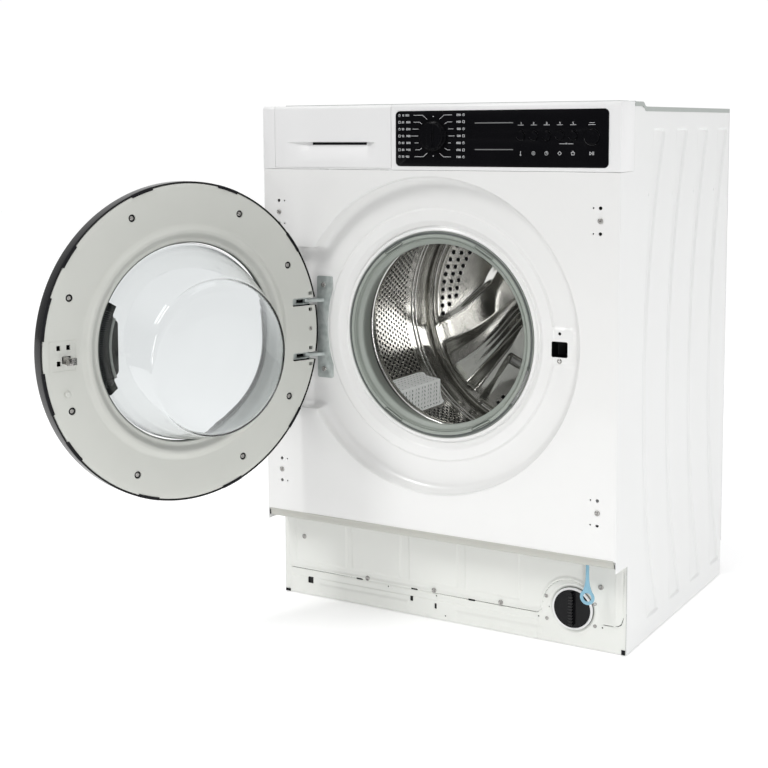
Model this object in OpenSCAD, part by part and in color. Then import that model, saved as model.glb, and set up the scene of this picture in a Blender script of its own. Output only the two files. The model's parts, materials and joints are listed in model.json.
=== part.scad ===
// Built-in front-loading washing machine, drawn with its door standing open.
// X is to the right, Y runs from the front sheet to the rear, Z is up.
// The pieces are drawn with y = 0 at the front sheet and moved at the end,
// so that the origin lies at floor level in the middle of the cabinet.

/* [Cabinet] */
// Width over the side panels
cab_w = 597; // [580:1:620]
// Height above the floor
cab_h = 800; // [790:1:860]
// Depth from the front sheet to the rear sheet
cab_d = 495; // [495:1:560]
// Thickness of the steel sheets
sheet_t = 1; // [0.8:0.1:1.4]
// Clearance between seated pieces
gap = 0.3; // [0.2:0.05:0.4]
// Height of the toe recess
toe_h = 134; // [120:1:145]
// Depth of the toe recess
toe_d = 48; // [40:1:55]
// Height of the sloping fold below the front sheet
fold_h = 17.5; // [12:0.5:20]
// Depth of the sloping fold
fold_d = 16; // [10:0.5:20]
// Width of the flanges that stiffen the sheets
flange_w = 14; // [10:1:18]
// Step down from the control panel to the top plate
top_drop = 7; // [5:0.5:10]
// Height of the base frame
base_h = 55; // [50:1:60]
// Wall of the base frame
base_t = 4; // [3:0.5:6]
// Spacing from one pressed flute of the side panel to the next
flute_pitch = 101; // [98:1:103]
// Depth of the pressed flutes
flute_deep = 3.5; // [2:0.5:5]
// Distance from the flutes' ends to the floor and to the top plate
flute_end = 28.5; // [20:0.5:60]

/* [Control panel] */
// Height of the control panel
panel_h = 97.5; // [95:0.5:105]
// Depth of the panel's side wings
wing_d = 53; // [45:1:60]
// Depth of the panel's top
panel_top_d = 100; // [90:1:110]
// Wall of the plastic mouldings
wall = 2.5; // [2:0.1:3]
// Clearance between the drawer front and the dark window
win_gap = 8; // [5:0.5:12]
// Height of the dark window
win_h = 82; // [76:1:86]
// Window's right edge, from the side of the cabinet
win_x = 17.5; // [15:0.5:22]
// Corner radius of the window
win_r = 7; // [4:0.5:10]
// Radius of the program knob
knob_r = 22; // [18:0.5:24]
// Knob centre, from the window's left edge
knob_x = 64; // [40:1:80]
// Radius of an option button
button_r = 6; // [4.5:0.25:7]
// Spacing of the option buttons
button_pitch = 20; // [18:0.5:21]
// First option button, from the window's right edge
button_x = 133; // [125:1:145]
// Radius of the start button
start_r = 10.5; // [8:0.5:11.5]
// Start button, from the window's right edge
start_x = 25; // [20:1:30]
// Travel of the buttons
button_travel = 1.2; // [0.8:0.1:1.5]

/* [Detergent drawer] */
// Width of the drawer front
drawer_w = 211; // [205:1:213]
// Drawer front's left edge, from the side of the cabinet
drawer_x = 22.5; // [18:0.5:28]
// Thickness of the drawer front
drawer_t = 18; // [16:0.5:20]
// Length of the drawer tray
tray_l = 212; // [190:1:225]
// Height of the drawer tray
tray_h = 60; // [45:1:64]

/* [Door] */
// Clearance between the door's recess and the control panel
door_top = 10; // [8:0.5:14]
// Outer radius of the door
door_r = 237; // [230:0.5:238]
// Gap between the door and its recess
recess_gap = 3; // [2.5:0.1:4]
// Depth of the door recess
recess_d = 25; // [24:0.5:26]
// Fillet at the foot of the recess wall
recess_fillet = 13; // [8:0.5:14]
// Thickness of the door between its two faces
door_t = 24; // [23:0.25:25]
// Angle at which the door stands open
open_angle = 111; // [90:1:111]
// Hinge pin, inwards from the door's edge
pin_in = 12.8; // [12.5:0.1:13.5]
// Hinge pin, behind the door's outer face
pin_deep = 8.2; // [8:0.1:8.6]
// Hinge arms, above and below the door's centre
arm_z = 43; // [38:0.5:50]
// Radius of the hinge pin
pin_r = 2.5; // [2:0.1:3]
// Width of the door's ring, from its edge to the glass bowl
ring_w = 91; // [90:0.5:94]
// Radius of the glass bowl's nose under that of its root
nose_less = 40; // [38:1:46]
// Drop of the nose below the door's centre
nose_drop = 13; // [8:0.5:16]
// Distance from the door's inner face to the nose
nose_reach = 90; // [80:1:92]
// Thickness of the glass
glass_t = 4; // [3:0.25:5]
// Raised bead round the bowl, outwards from the bowl's edge
bead_out = 19.2; // [18:0.2:20]
// Screw circle, inwards from the door's edge
screw_in = 29.7; // [28:0.1:31]
// Latch hook, inwards from the door's edge
latch_in = 36.2; // [35:0.2:37]
// Latch hook, below the door's centre
latch_drop = 6.5; // [4:0.5:8]

/* [Drum and tub] */
// Inner radius of the drum
drum_r = 224; // [205:0.5:235]
// Clearance between the tub's front wall and the drum
drum_gap = 12; // [10:0.5:14]
// Room behind the drum for the tub's rear wall, the bearings and the pulley
rear_room = 65; // [62:0.5:80]
// Radius of the drum's mouth over that of the bowl
mouth_more = 4; // [3:0.5:8]
// Distance from the drum's front to the lifters
lifter_y = 24; // [15:1:40]
// Clearance between the lifters and the drum's dished back
lifter_end = 78; // [40:1:110]
// Height of the lifters
lifter_h = 44; // [36:1:50]
// Clearance between the drum and the tub
tub_gap = 14; // [10:0.5:18]
// Wall of the tub
tub_t = 3; // [2.5:0.1:3.5]
// Distance from the front sheet to the tub's front wall
tub_y = 74; // [73:0.5:76]
// Clearance between the drum and the tub's rear wall
tub_clear = 8; // [7:0.5:12]
// Radius of the drum shaft
shaft_r = 15; // [12:0.5:16]
// Outer radius of the bearings
bearing_r = 31; // [28:0.5:32]
// Top of the upper counterweight over the tub
weight_top = 72.5; // [60:0.5:76]
// Radius of the drum pulley
pulley_r = 140; // [130:1:142]
// Radius of the motor pulley
motor_pulley_r = 11; // [9:0.5:12]
// Motor centre, left of the middle
motor_x = 125; // [122:1:128]
// Clearance between the motor and the tub
motor_gap = 26.3; // [20:0.5:30]
// Radius of the motor's casing
motor_r = 60; // [50:1:62]

/* [Filter and feet] */
// Filter centre, from the side of the cabinet
filter_in = 84; // [82:0.5:90]
// Filter centre, above the floor
filter_z = 57; // [55:0.5:60]
// Radius of the filter cap
filter_r = 28.5; // [26:0.5:30]
// Radius of the foot pads
foot_r = 20; // [16:0.5:22]
// Radius of the foot screws
foot_screw_r = 5; // [4:0.25:6]
// Radius of the holes for furniture hinges
hinge_hole_r = 2.6; // [2:0.1:3]
// Spacing of a pair of furniture hinge holes
hinge_hole_gap = 36; // [32:0.5:38]
// Radius of the water inlet's thread
inlet_r = 13.2; // [12:0.1:14]
// Length of the water inlet's thread
inlet_l = 14; // [12:0.5:18]

/* [Hidden] */
$fn = 48;
e = 0.01;
run = 0.05;
half_w = cab_w / 2;
in_x = half_w - sheet_t;
panel_z = cab_h - panel_h;
plate_z = cab_h - top_drop - sheet_t;
front_z = toe_h + fold_h;
rear_y = cab_d - sheet_t;
flute_h = plate_z - 2 * flute_end;
dispenser_d = 260;
drawer_mid = -half_w + drawer_x + drawer_w / 2;
win_left = drawer_mid + drawer_w / 2 + win_gap;
win_right = half_w - win_x;
win_w = win_right - win_left;
win_mid = (win_left + win_right) / 2;
knob_at = win_left + knob_x;
button_at = win_right - button_x;
start_at = win_right - start_x;
recess_r = door_r + recess_gap;
door_z = panel_z - door_top - recess_r;
glass_r = door_r - ring_w;
nose_r = glass_r - nose_less;
bead_r = glass_r + bead_out;
screw_circle = door_r - screw_in;
latch_u = door_r - latch_in;
face_y = recess_d - 5;
outer_y = face_y - door_t;
pin_x = -(door_r - pin_in);
pin_y = outer_y + pin_deep;
bracket_x = pin_x + 22.2;
plateau_y = recess_d - 3;
plateau_r = door_r - 47;
plateau_in = bead_r + 9.3;
throat_y = recess_d + 7;
throat_r = bead_r + 0.3;
port_r = glass_r + 14.5;
drawer_in_z = panel_z + 2;
win_z = panel_z + 46.5;
pane_y = -0.4;
pane_t = 4.7;
lock_z = door_z - latch_drop;
mouth_r = glass_r + mouth_more;
drum_y = tub_y + drum_gap;
drum_back_y = cab_d - rear_room;
drum_l = drum_back_y - drum_y;
tub_r = drum_r + tub_gap;
tub_back = drum_back_y + tub_clear;
drum_t = 1;
dish = 22;
arm_in = 28;
tub_split = tub_y + 116;
tub_out = tub_r + tub_t;
pulley_y = tub_back + 28;
pulley_w = 14;
motor_l = 120;
motor_y = pulley_y - motor_l - 46;
motor_z = door_z - sqrt(pow(tub_out + motor_gap + motor_r, 2) - motor_x * motor_x);
ear_z = door_z + 107;
ear_x = in_x - 16.5;
ear_ys = [tub_y + 76, tub_back - 88];
damper_x = 150;
damper_y = (tub_y + tub_back) / 2 + 6;
sump_y0 = tub_back - 138;
sump_y1 = tub_back - 8;
foot_x = half_w - 40;
foot_ys = [toe_d + 45, cab_d - 45];
foot_pad = 8;
press_t = 1.4;
slot_xs = [-155, -54, 47];
cover_r = 165;
inlet_x = half_w - 98.5;
inlet_z = plate_z - 46;
drain_r = 14;
drain_l = 16;
gland_r = 9;
furniture_x = half_w - 28.5;
furniture_in = 68;
furniture_zs = [front_z + furniture_in, panel_z - furniture_in];
filter_x = half_w - filter_in;
pump_r = filter_r + 4.5;
strap_x = half_w - 49.5;
lifter_angles = [-140, -20, 100];
lifter_half = 34;

// Helpers

// Points of an arc about c, from angle a to angle b
function arc(c, r, a, b, n = 6) =
    [for (i = [0:n]) c + r * [cos(a + (b - a) * i / n), sin(a + (b - a) * i / n)]];
// Turns a shape drawn along Z so that it runs from front to rear
module along_y() rotate([-90, 0, 0]) children();
// Places a shape drawn along Z on the axis of the door and drum
module on_axis() translate([0, 0, door_z]) along_y() children();
// Extrudes an outline given as depth and height across the width w
module across(w) translate([-w / 2, 0, 0]) rotate([90, 0, 90]) linear_extrude(w) children();
// Cylinder from depth y0 to y1 at x and z
module rod(x, z, r, y0, y1) translate([x, y0, z]) along_y() cylinder(r = r, h = y1 - y0);
// Box between two corners
module block(a, b) translate(a) cube(b - a);
// Box with its edges along Y rounded by r
module round_block(a, b, r) {
    block([a[0] + r, a[1], a[2]], [b[0] - r, b[1], b[2]]);
    block([a[0], a[1], a[2] + r], [b[0], b[1], b[2] - r]);
    for (x = [a[0] + r, b[0] - r], z = [a[2] + r, b[2] - r]) rod(x, z, r, a[1], b[1]);
}
// Turns what is drawn for the closed door into its open place
module swung() translate([pin_x, pin_y, 0]) rotate(-open_angle) translate([-pin_x, -pin_y, 0]) children();
// Copies to polar places on the door's face
module at_polar(angle, r) translate([r * cos(angle), 0, door_z + r * sin(angle)]) children();
// The cylinder that a piece on the tub or door is cut to
module axis_cylinder(r, y0, y1) rod(0, door_z, r, y0, y1);

// Cabinet

// Outline of one flute: a crescent between a steep and a flat arc
module flute(y, x0, x1, grow) {
    bow_r = 985;
    flat_r = 2000;
    z_mid = plate_z / 2;
    intersection() {
        difference() {
            translate([x0, y - 14 + flat_r, z_mid]) rotate([0, 90, 0])
                cylinder(r = flat_r + grow, h = x1 - x0);
            translate([x0 - 1, y + bow_r, z_mid]) rotate([0, 90, 0])
                cylinder(r = bow_r - grow, h = x1 - x0 + 2);
        }
        block([x0, y - 60, z_mid - flute_h / 2 - grow], [x1, y + 120, z_mid + flute_h / 2 + grow]);
    }
}
// Right side panel, with its flanges turned inwards; the left one mirrors it
module side_panel() {
    y0 = sheet_t + gap;
    y1 = rear_y - gap;
    z1 = plate_z - gap;
    difference() {
        union() {
            translate([in_x, 0, 0]) rotate([90, 0, 90]) linear_extrude(sheet_t)
                polygon([[toe_d, 0], [y1, 0], [y1, z1], [wing_d + gap, z1],
                    [wing_d + gap, panel_z - gap], [y0, panel_z - gap], [y0, front_z + 1],
                    [fold_d + sheet_t + gap, toe_h], [toe_d, toe_h]]);
            block([in_x - flange_w, y1 - sheet_t, base_h + 5], [in_x + e, y1, z1]);
            block([in_x - flange_w, panel_top_d + 5, z1 - sheet_t], [in_x + e, y1, z1]);
            block([in_x - flange_w, toe_d + 3, 0], [in_x + e, y1, sheet_t]);
            block([in_x - flange_w, fold_d + sheet_t + 2 * gap, toe_h], [in_x + e, toe_d - gap, toe_h + sheet_t]);
            for (i = [0:3]) flute(110 + i * flute_pitch, in_x - flute_deep, half_w, sheet_t);
        }
        for (i = [0:3]) flute(110 + i * flute_pitch, half_w - flute_deep, half_w + 1, 0);
    }
}
module side_panel_right() color("whitesmoke") side_panel();
module side_panel_left() color("whitesmoke") mirror([1, 0, 0]) side_panel();

// Rear sheet with a round service opening and two pressed ribs
module rear_panel() color("silver") difference() {
    union() {
        block([-half_w, rear_y, base_h + 5], [half_w, cab_d, plate_z - gap]);
        for (x = [-1, 1]) translate([x * (half_w - 62), rear_y - 3, 200])
            block([-12, 0, 0], [12, 3 + e, 420]);
    }
    axis_cylinder(cover_r - 12, rear_y - 1, cab_d + 1);
    for (x = [-1, 1]) block([x * (half_w - 62) - 11, rear_y - 2, 201], [x * (half_w - 62) + 11, cab_d + 1, 619]);
    rod(inlet_x, inlet_z, inlet_r + 0.8, rear_y - 1, cab_d + 1);
    rod(-inlet_x, inlet_z, drain_r + 0.8, rear_y - 1, cab_d + 1);
    rod(-inlet_x + 60, inlet_z, gland_r + gap, rear_y - 1, cab_d + 1);
}

// Pressed cover over the service opening
module rear_access_cover() color("gainsboro") {
    y = cab_d + gap;
    rise = 10;
    on_axis() rotate_extrude() polygon([[0, y + rise], [cover_r - 35, y + rise], [cover_r - 16, y + 1],
        [cover_r - 15, y], [cover_r, y], [cover_r, y + sheet_t], [cover_r - 15, y + sheet_t],
        [cover_r - 34, y + rise + sheet_t], [0, y + rise + sheet_t]]);
    for (a = [0:60:300]) at_polar(a, cover_r - 6) rod(0, 0, 4, y + sheet_t, y + sheet_t + 2);
}

// Base frame: an open ring with sockets for the four feet
module base_frame() color("dimgray") difference() {
    x = in_x - flute_deep - gap;
    y0 = toe_d + sheet_t + gap;
    y1 = rear_y - sheet_t - 2 * gap;
    union() {
        difference() {
            block([-x, y0, sheet_t + gap], [x, y1, base_h]);
            block([-x + base_t, y0 + base_t, 0], [x - base_t, y1 - base_t, base_h + 1]);
        }
        difference() {
            block([-x + flange_w + gap, y0, 0], [x - flange_w - gap, y1, base_t]);
            block([-x + 48, y0 + 40, -1], [x - 48, y1 - 40, base_t + 1]);
        }
        for (x = [-foot_x, foot_x], y = foot_ys) translate([x, y, 0]) {
            cylinder(r = foot_r + base_t - 0.5, h = foot_pad + 6);
            cylinder(r = foot_screw_r + 6, h = base_h - 8);
        }
        for (x = [-damper_x, damper_x]) translate([x - 16, damper_y - 16, 0]) block([0, 0, 0], [32, 32, 6]);
        for (x = [-damper_x, damper_x]) block([x - 14, y0, 0], [x + 14, y1, 6]);
    }
    for (x = [-foot_x, foot_x], y = foot_ys) translate([x, y, -1]) {
        cylinder(r = foot_r + 0.5, h = foot_pad + 1.5);
        cylinder(r = foot_screw_r + run, h = base_h);
    }
    block([filter_x - 42, 0, base_t + 1], [filter_x + 42, y0 + base_t + 1, base_h + 1]);
}

// Lines of the pressed door recess, as radius and depth
recess_line = concat([[recess_r, -e]],
    arc([recess_r - recess_fillet, recess_d - recess_fillet], recess_fillet, 0, 90),
    [[plateau_r + 4, recess_d], [plateau_r, plateau_y], [plateau_in, plateau_y], [throat_r, throat_y]]);
recess_back = concat([[port_r, throat_y + sheet_t], [throat_r + sheet_t, throat_y + sheet_t],
    [plateau_in + sheet_t, plateau_y + sheet_t], [plateau_r, plateau_y + sheet_t],
    [plateau_r + 4, recess_d + sheet_t]],
    arc([recess_r - recess_fillet, recess_d - recess_fillet], recess_fillet + sheet_t, 90, 0),
    [[recess_r + sheet_t, 0]]);
pocket_x = recess_r + 10;
pocket_z = 127.5;
// The space inside the door recess
module recess_void() on_axis() rotate_extrude() polygon(concat([[0, -1]], recess_line, [[0, throat_y]]));
// Front sheet with the door recess, the hinge pocket and the sloping fold
module front_panel() color("white") {
    w = cab_w;
    z1 = panel_z - gap;
    pad_x = pin_x + 2;
    difference() {
        union() {
            difference() {
                block([-w / 2, 0, front_z], [w / 2, sheet_t, z1]);
                axis_cylinder(recess_r + sheet_t / 2, -1, sheet_t + 1);
            }
            across(w) polygon([[0, front_z + e], [fold_d, toe_h], [fold_d + sheet_t, toe_h + gap],
                [sheet_t, front_z + 1]]);
            for (s = [-1, 1]) translate([s * (in_x - gap - sheet_t / 2) - sheet_t / 2, 0, front_z + 2])
                block([0, 0, 0], [sheet_t, flange_w, z1 - front_z - 2]);
            translate([0, 0, z1 - sheet_t]) block([-in_x + 2, 0, 0], [in_x - 2, flange_w, sheet_t]);
            on_axis() rotate_extrude() polygon(concat(recess_line, [[port_r, throat_y]], recess_back));
            on_axis() rotate_extrude() translate([port_r, throat_y - 1.5]) circle(3, $fn = 24);
            difference() {
                block([-pocket_x - sheet_t, 0, door_z - pocket_z - sheet_t],
                    [pad_x + 14, recess_d + sheet_t, door_z + pocket_z + sheet_t]);
                block([-pocket_x, -1, door_z - pocket_z], [pad_x + 15, recess_d, door_z + pocket_z]);
                recess_void();
            }
            difference() {
                round_block([latch_u - 22, plateau_y, lock_z - 22], [latch_u + 24, recess_d + sheet_t, lock_z + 30], 8);
                axis_cylinder(plateau_r, 0, recess_d + sheet_t + 1);
            }
        }
        difference() {
            block([-pocket_x, -1, door_z - pocket_z], [-recess_r + 45, recess_d, door_z + pocket_z]);
            axis_cylinder(recess_r - recess_fillet - 8, -2, recess_d + 1);
        }
        block([latch_u - 12.5, 0, lock_z - 11.5], [latch_u + 12.5, recess_d + 5, lock_z + 11.5]);
        rod(latch_u, lock_z + 23, 2, 0, recess_d + 5);
        for (x = [-furniture_x, furniture_x], z = furniture_zs) {
            for (s = [-1, 1]) {
                rod(x, z + s * hinge_hole_gap / 2, hinge_hole_r, -1, sheet_t + 1);
                rod(x + sign(x) * s * 10.5, z + s * hinge_hole_gap / 2, 1.2, -1, sheet_t + 1);
            }
        }
    }
}

// Plinth sheet behind the toe recess, with pressed panels and a lapped lower rail
module plinth_panel() color("gainsboro") {
    x = in_x - gap;
    rail_x = filter_x - 54;
    press_x = rail_x - 29;
    press_w = (press_x + x - 20) / 4;
    difference() {
        union() {
            block([-x, toe_d, 2], [x, toe_d + sheet_t, toe_h + 14]);
            block([-in_x + 12, toe_d - sheet_t, 6], [rail_x, toe_d + e, 30.5]);
            block([-x, toe_d, toe_h + 13], [x, toe_d + flange_w, toe_h + 14]);
            for (i = [0:3]) round_block([press_x - (i + 1) * press_w + 4, toe_d - press_t, filter_z - 2.5],
                [press_x - i * press_w - 4, toe_d + e, filter_z + 64], 5);
        }
        rod(filter_x, filter_z, filter_r + 3.5, 0, toe_d + 5);
        block([-254, 0, 20], [-242, toe_d + 5, 32]);
        for (x = slot_xs) round_block([x - 5, 0, filter_z - 16.5], [x + 5, toe_d + 5, filter_z - 13], 1.5);
    }
}
// Galvanised top plate
module top_plate() color("lightgray")
    block([-half_w, panel_top_d + gap, plate_z], [half_w, cab_d, plate_z + sheet_t]);

// Control panel moulding: a front wall and top with a rounded edge, and two wings
module control_fascia() color("white") {
    r = 5;
    outer = concat([[0, panel_z]], arc([r, cab_h - r], r, 180, 90), [[panel_top_d, cab_h]]);
    inner = concat([[panel_top_d, cab_h - wall]], arc([r, cab_h - r], r - wall, 90, 180), [[wall, panel_z]]);
    difference() {
        union() {
            across(cab_w) polygon(concat(outer, inner));
            for (s = [-1, 1]) translate([s * (half_w - wall / 2), 0, 0]) across(wall)
                polygon(concat([[0, panel_z]], arc([r, cab_h - r], r, 180, 90), [[wing_d, cab_h], [wing_d, panel_z]]));
            block([-half_w + 1, 0, panel_z], [half_w - 1, 12, panel_z + wall]);
            for (s = [-1, 1]) translate([s * (half_w - 12), 0, 0])
                block([-6, panel_top_d - 6, plate_z - flange_w], [6, panel_top_d - 4, cab_h - 1]);
        }
        round_block([win_left, -1, win_z - win_h / 2], [win_right, wall + 1, win_z + win_h / 2], win_r);
        block([drawer_mid - drawer_w / 2 - gap, -1, drawer_in_z], [drawer_mid + drawer_w / 2 + gap, drawer_t + 1, cab_h - 0.5]);
        block([drawer_mid - drawer_w / 2 - gap, -1, cab_h - 1], [drawer_mid + drawer_w / 2 + gap, drawer_t, cab_h + 1]);
    }
}

// Dark window pane with its hidden rim, bored for the knob and buttons
module display_window() color("black") difference() {
    lip = 3;
    union() {
        round_block([win_left + gap, pane_y, win_z - win_h / 2 + gap],
            [win_right - gap, pane_y + pane_t, win_z + win_h / 2 - gap], win_r - gap);
        round_block([win_left - lip, wall + gap, win_z - win_h / 2 - lip],
            [win_right + lip, pane_y + pane_t, win_z + win_h / 2 + lip], win_r);
    }
    rod(knob_at, win_z + 4, 3 + run, -2, 10);
    for (i = [0:4]) rod(button_at + i * button_pitch, win_z + 4, button_r + gap, -2, 10);
    rod(start_at, win_z + 2, start_r + gap, -2, 10);
}

// Knob with a grip bar across its face and a shaft behind
module program_knob() color("dimgray") {
    z = win_z + 4;
    y = pane_y - gap;
    translate([knob_at, 0, z]) {
        rod(0, 0, knob_r, y - 3, y);
        translate([0, y - 3, 0]) rotate([90, 0, 0]) cylinder(r1 = knob_r - 1, r2 = knob_r - 3, h = 7);
        intersection() {
            round_block([-4, y - 15, -knob_r + 2.5], [4, y - 9, knob_r - 2.5], 3);
            rod(0, 0, knob_r - 3, y - 16, y);
        }
        rod(0, 0, 3, y - e, 9);
        rod(0, 0, 5, pane_y + pane_t + gap, 9);
    }
}

// Push button with a dished face and a rim behind the pane
module push_button(x, z, r) translate([x, 0, z]) difference() {
    union() {
        rod(0, 0, r, pane_y - button_travel - 0.6, pane_y + pane_t + 1);
        rod(0, 0, r + 1, pane_y + pane_t + gap, pane_y + pane_t + 1.6);
    }
    translate([0, pane_y - button_travel - 0.6 - 2.5 * r, 0]) sphere(r = 2.57 * r, $fn = 64);
}
module option_button(i) color("dimgray") push_button(button_at + i * button_pitch, win_z + 4, button_r);
module start_button() color("dimgray") push_button(start_at, win_z + 2, start_r);

// Detergent drawer

// Box that the drawer slides in, with the water spout below it
module dispenser_housing() color("gainsboro") {
    x0 = drawer_mid - drawer_w / 2 + 6;
    x1 = drawer_mid + drawer_w / 2 - 6;
    z0 = drawer_in_z + 2;
    z1 = cab_h - wall - 8;
    y0 = drawer_t + 2;
    difference() {
        union() {
            block([x0, y0, z0], [x1, y0 + dispenser_d - 15, z1]);
            block([x0 - 3, y0, z0 - 1], [x1 + 3, y0 + 3, z1 + 8 - gap]);
            rod(x0 + 40, z0 + 50, 8, y0 + dispenser_d - 16, y0 + dispenser_d - 4);
            translate([x0 + 130, y0 + 190, z0 - 24]) cylinder(r = 16, h = 26);
        }
        block([x0 + 2, y0 - 1, z0 + 2], [x1 - 2, y0 + dispenser_d - 17, z1 - 2]);
        translate([x0 + 130, y0 + 190, z0 - 25]) cylinder(r = 13, h = 40);
        rod(x0 + 40, z0 + 50, 5.5, y0 + dispenser_d - 20, y0 + dispenser_d);
    }
}
// Drawer front with a scooped handle recess
module drawer_front() color("white") {
    x0 = drawer_mid - drawer_w / 2;
    x1 = drawer_mid + drawer_w / 2;
    z1 = cab_h;
    r = 5;
    scoop_z = panel_z + 24.5;
    difference() {
        translate([drawer_mid, 0, 0]) across(drawer_w) polygon(concat([[0, drawer_in_z + gap]],
            arc([r, z1 - r], r, 180, 90), [[drawer_t - gap, z1], [drawer_t - gap, drawer_in_z + gap]]));
        block([drawer_mid - 92.5, -1, scoop_z - 14], [drawer_mid + 92.5, 3, scoop_z + 14]);
        intersection() {
            translate([x0, -9, scoop_z + 10]) rotate([0, 90, 0]) cylinder(r = 23.5, h = x1 - x0);
            block([drawer_mid - 92.5, -1, scoop_z - 14], [drawer_mid + 92.5, drawer_t - 3, scoop_z + 14]);
        }
        block([drawer_mid + 23.5 - 54, 4, scoop_z], [drawer_mid + 23.5 + 54, drawer_t - 4, scoop_z + 24]);
    }
}
// Tray with three compartments
module drawer_tray() color("white") {
    x0 = drawer_mid - drawer_w / 2 + 8.3;
    x1 = drawer_mid + drawer_w / 2 - 8.3;
    z0 = drawer_in_z + 4.3;
    y0 = drawer_t;
    t = 1.8;
    difference() {
        block([x0, y0, z0], [x1, y0 + tray_l, z0 + tray_h]);
        block([x0 + t, y0 + 6, z0 + t + 4], [x0 + 62, y0 + tray_l - t, z0 + tray_h + 1]);
        block([x0 + 62 + t, y0 + 6, z0 + t], [x0 + 124, y0 + tray_l - t, z0 + tray_h + 1]);
        block([x0 + 124 + t, y0 + 6, z0 + t + 8], [x1 - t, y0 + tray_l - t, z0 + tray_h + 1]);
    }
}

// Door hinge and latch

// Bracket on the recess floor, with two ears that carry the pins
module hinge_bracket() color("slategray") {
    t = 2.5;
    y1 = recess_d - gap;
    difference() {
        round_block([pin_x + 10.2, y1 - t, door_z - 81], [pin_x + 38.2, y1, door_z + 81], 3);
        axis_cylinder(plateau_r + 5.5, 0, recess_d);
        for (s = [-1, 1]) rod(bracket_x, door_z + s * 67, 2.3, 0, recess_d);
    }
    for (s = [-1, 1]) difference() {
        translate([0, 0, door_z + s * arm_z - 2.5]) linear_extrude(5) difference() {
            union() {
                translate([pin_x, pin_y]) circle(5);
                polygon([[pin_x - 3, pin_y + 4], [pin_x + 4, pin_y - 3], [bracket_x - 1, y1 - t - 5],
                    [bracket_x + 1, y1 - t + 1], [bracket_x - 10, y1 - t + 1]]);
            }
        }
    }
    for (s = [-1, 1]) translate([pin_x, pin_y, door_z + s * arm_z - 6]) cylinder(r = pin_r, h = 12);
}
// Two forked arms fixed inside the door
module hinge_arms() color("slategray") swung() for (s = [-1, 1]) {
    z = door_z + s * arm_z;
    for (c = [-1, 1]) translate([0, 0, z + c * 4.25 - 1.25]) linear_extrude(2.5) difference() {
        union() {
            translate([pin_x, pin_y]) circle(5);
            polygon([[pin_x - 2, pin_y - 4.5], [pin_x + 34, pin_y - 4.5], [pin_x + 34, face_y - 8], [pin_x + 6, face_y - 8], [pin_x - 1, pin_y + 4.9]]);
        }
        translate([pin_x, pin_y]) circle(pin_r + run);
    }
    block([pin_x + 24, pin_y - 4.5, z - 5.5], [pin_x + 34, face_y - 8, z + 5.5]);
}
// Lock behind the recess floor, open where the hook enters
module lock_housing() color("dimgray") difference() {
    y0 = recess_d + sheet_t + gap;
    union() {
        round_block([latch_u - 22, y0, lock_z - 34], [latch_u + 26, y0 + 36, lock_z + 44], 4);
        block([latch_u - 10, y0 + 35, lock_z + 10], [latch_u + 20, y0 + 42, lock_z + 38]);
    }
    block([latch_u - 16, y0 - 1, lock_z - 13], [latch_u + 16, y0 + 28, lock_z + 13]);
}
// Spring-loaded hook that turns on an upright pivot
module latch_hook() color("silver") swung() {
    y = face_y - 6;
    translate([latch_u, y, lock_z - 5]) {
        cylinder(r = 3.5, h = 10);
        linear_extrude(10) polygon([[-2.5, 2], [2.5, 2], [2.5, 25], [0, 30], [-9, 26], [-9, 22], [-2.5, 21]]);
    }
    for (s = [-1, 1]) translate([latch_u, y, lock_z + s * 6 - 2]) cylinder(r = 1.5, h = 4);
}

// Door

// Black outer ring: a dished face and a rim wall, notched for the hinge ears
module door_outer_ring() color("black") swung() difference() {
    t = 2.4;
    on_axis() rotate_extrude() polygon(concat(
        arc([door_r - 5, outer_y + 5], 5, 0, -90),
        [[door_r - 59, outer_y], [glass_r + 4, outer_y + 9], [glass_r + 4, outer_y + 9 + t], [door_r - 59, outer_y + t]],
        arc([door_r - 5, outer_y + 5], 5 - t, -90, 0),
        [[door_r - t, face_y - 0.6], [door_r, face_y - 0.6]]));
    for (s = [-1, 1]) block([-door_r - 1, pin_y - 6, door_z + s * arm_z - 6.2], [pin_x, face_y + 1, door_z + s * arm_z + 6.2]);
}
// Lines of the door's inner ring, as radius and depth
function bead(d) = [for (a = [0:15:180]) [bead_r + (7.3 - d) * cos(a), face_y - d + (8 - d / 4) * sin(a)]];
ring_r = door_r - 2.4 - gap;
inner_line = concat([[ring_r, 7]], [[ring_r, face_y]], bead(0), [[glass_r + 1.5, face_y - 4]]);
inner_back = concat([[glass_r + 1.5, face_y - 7.2]], [for (p = bead(2.4)) [2 * bead_r - p[0], p[1]]],
    [[ring_r - 2.4, face_y - 2.4], [ring_r - 2.4, 7]]);
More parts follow.
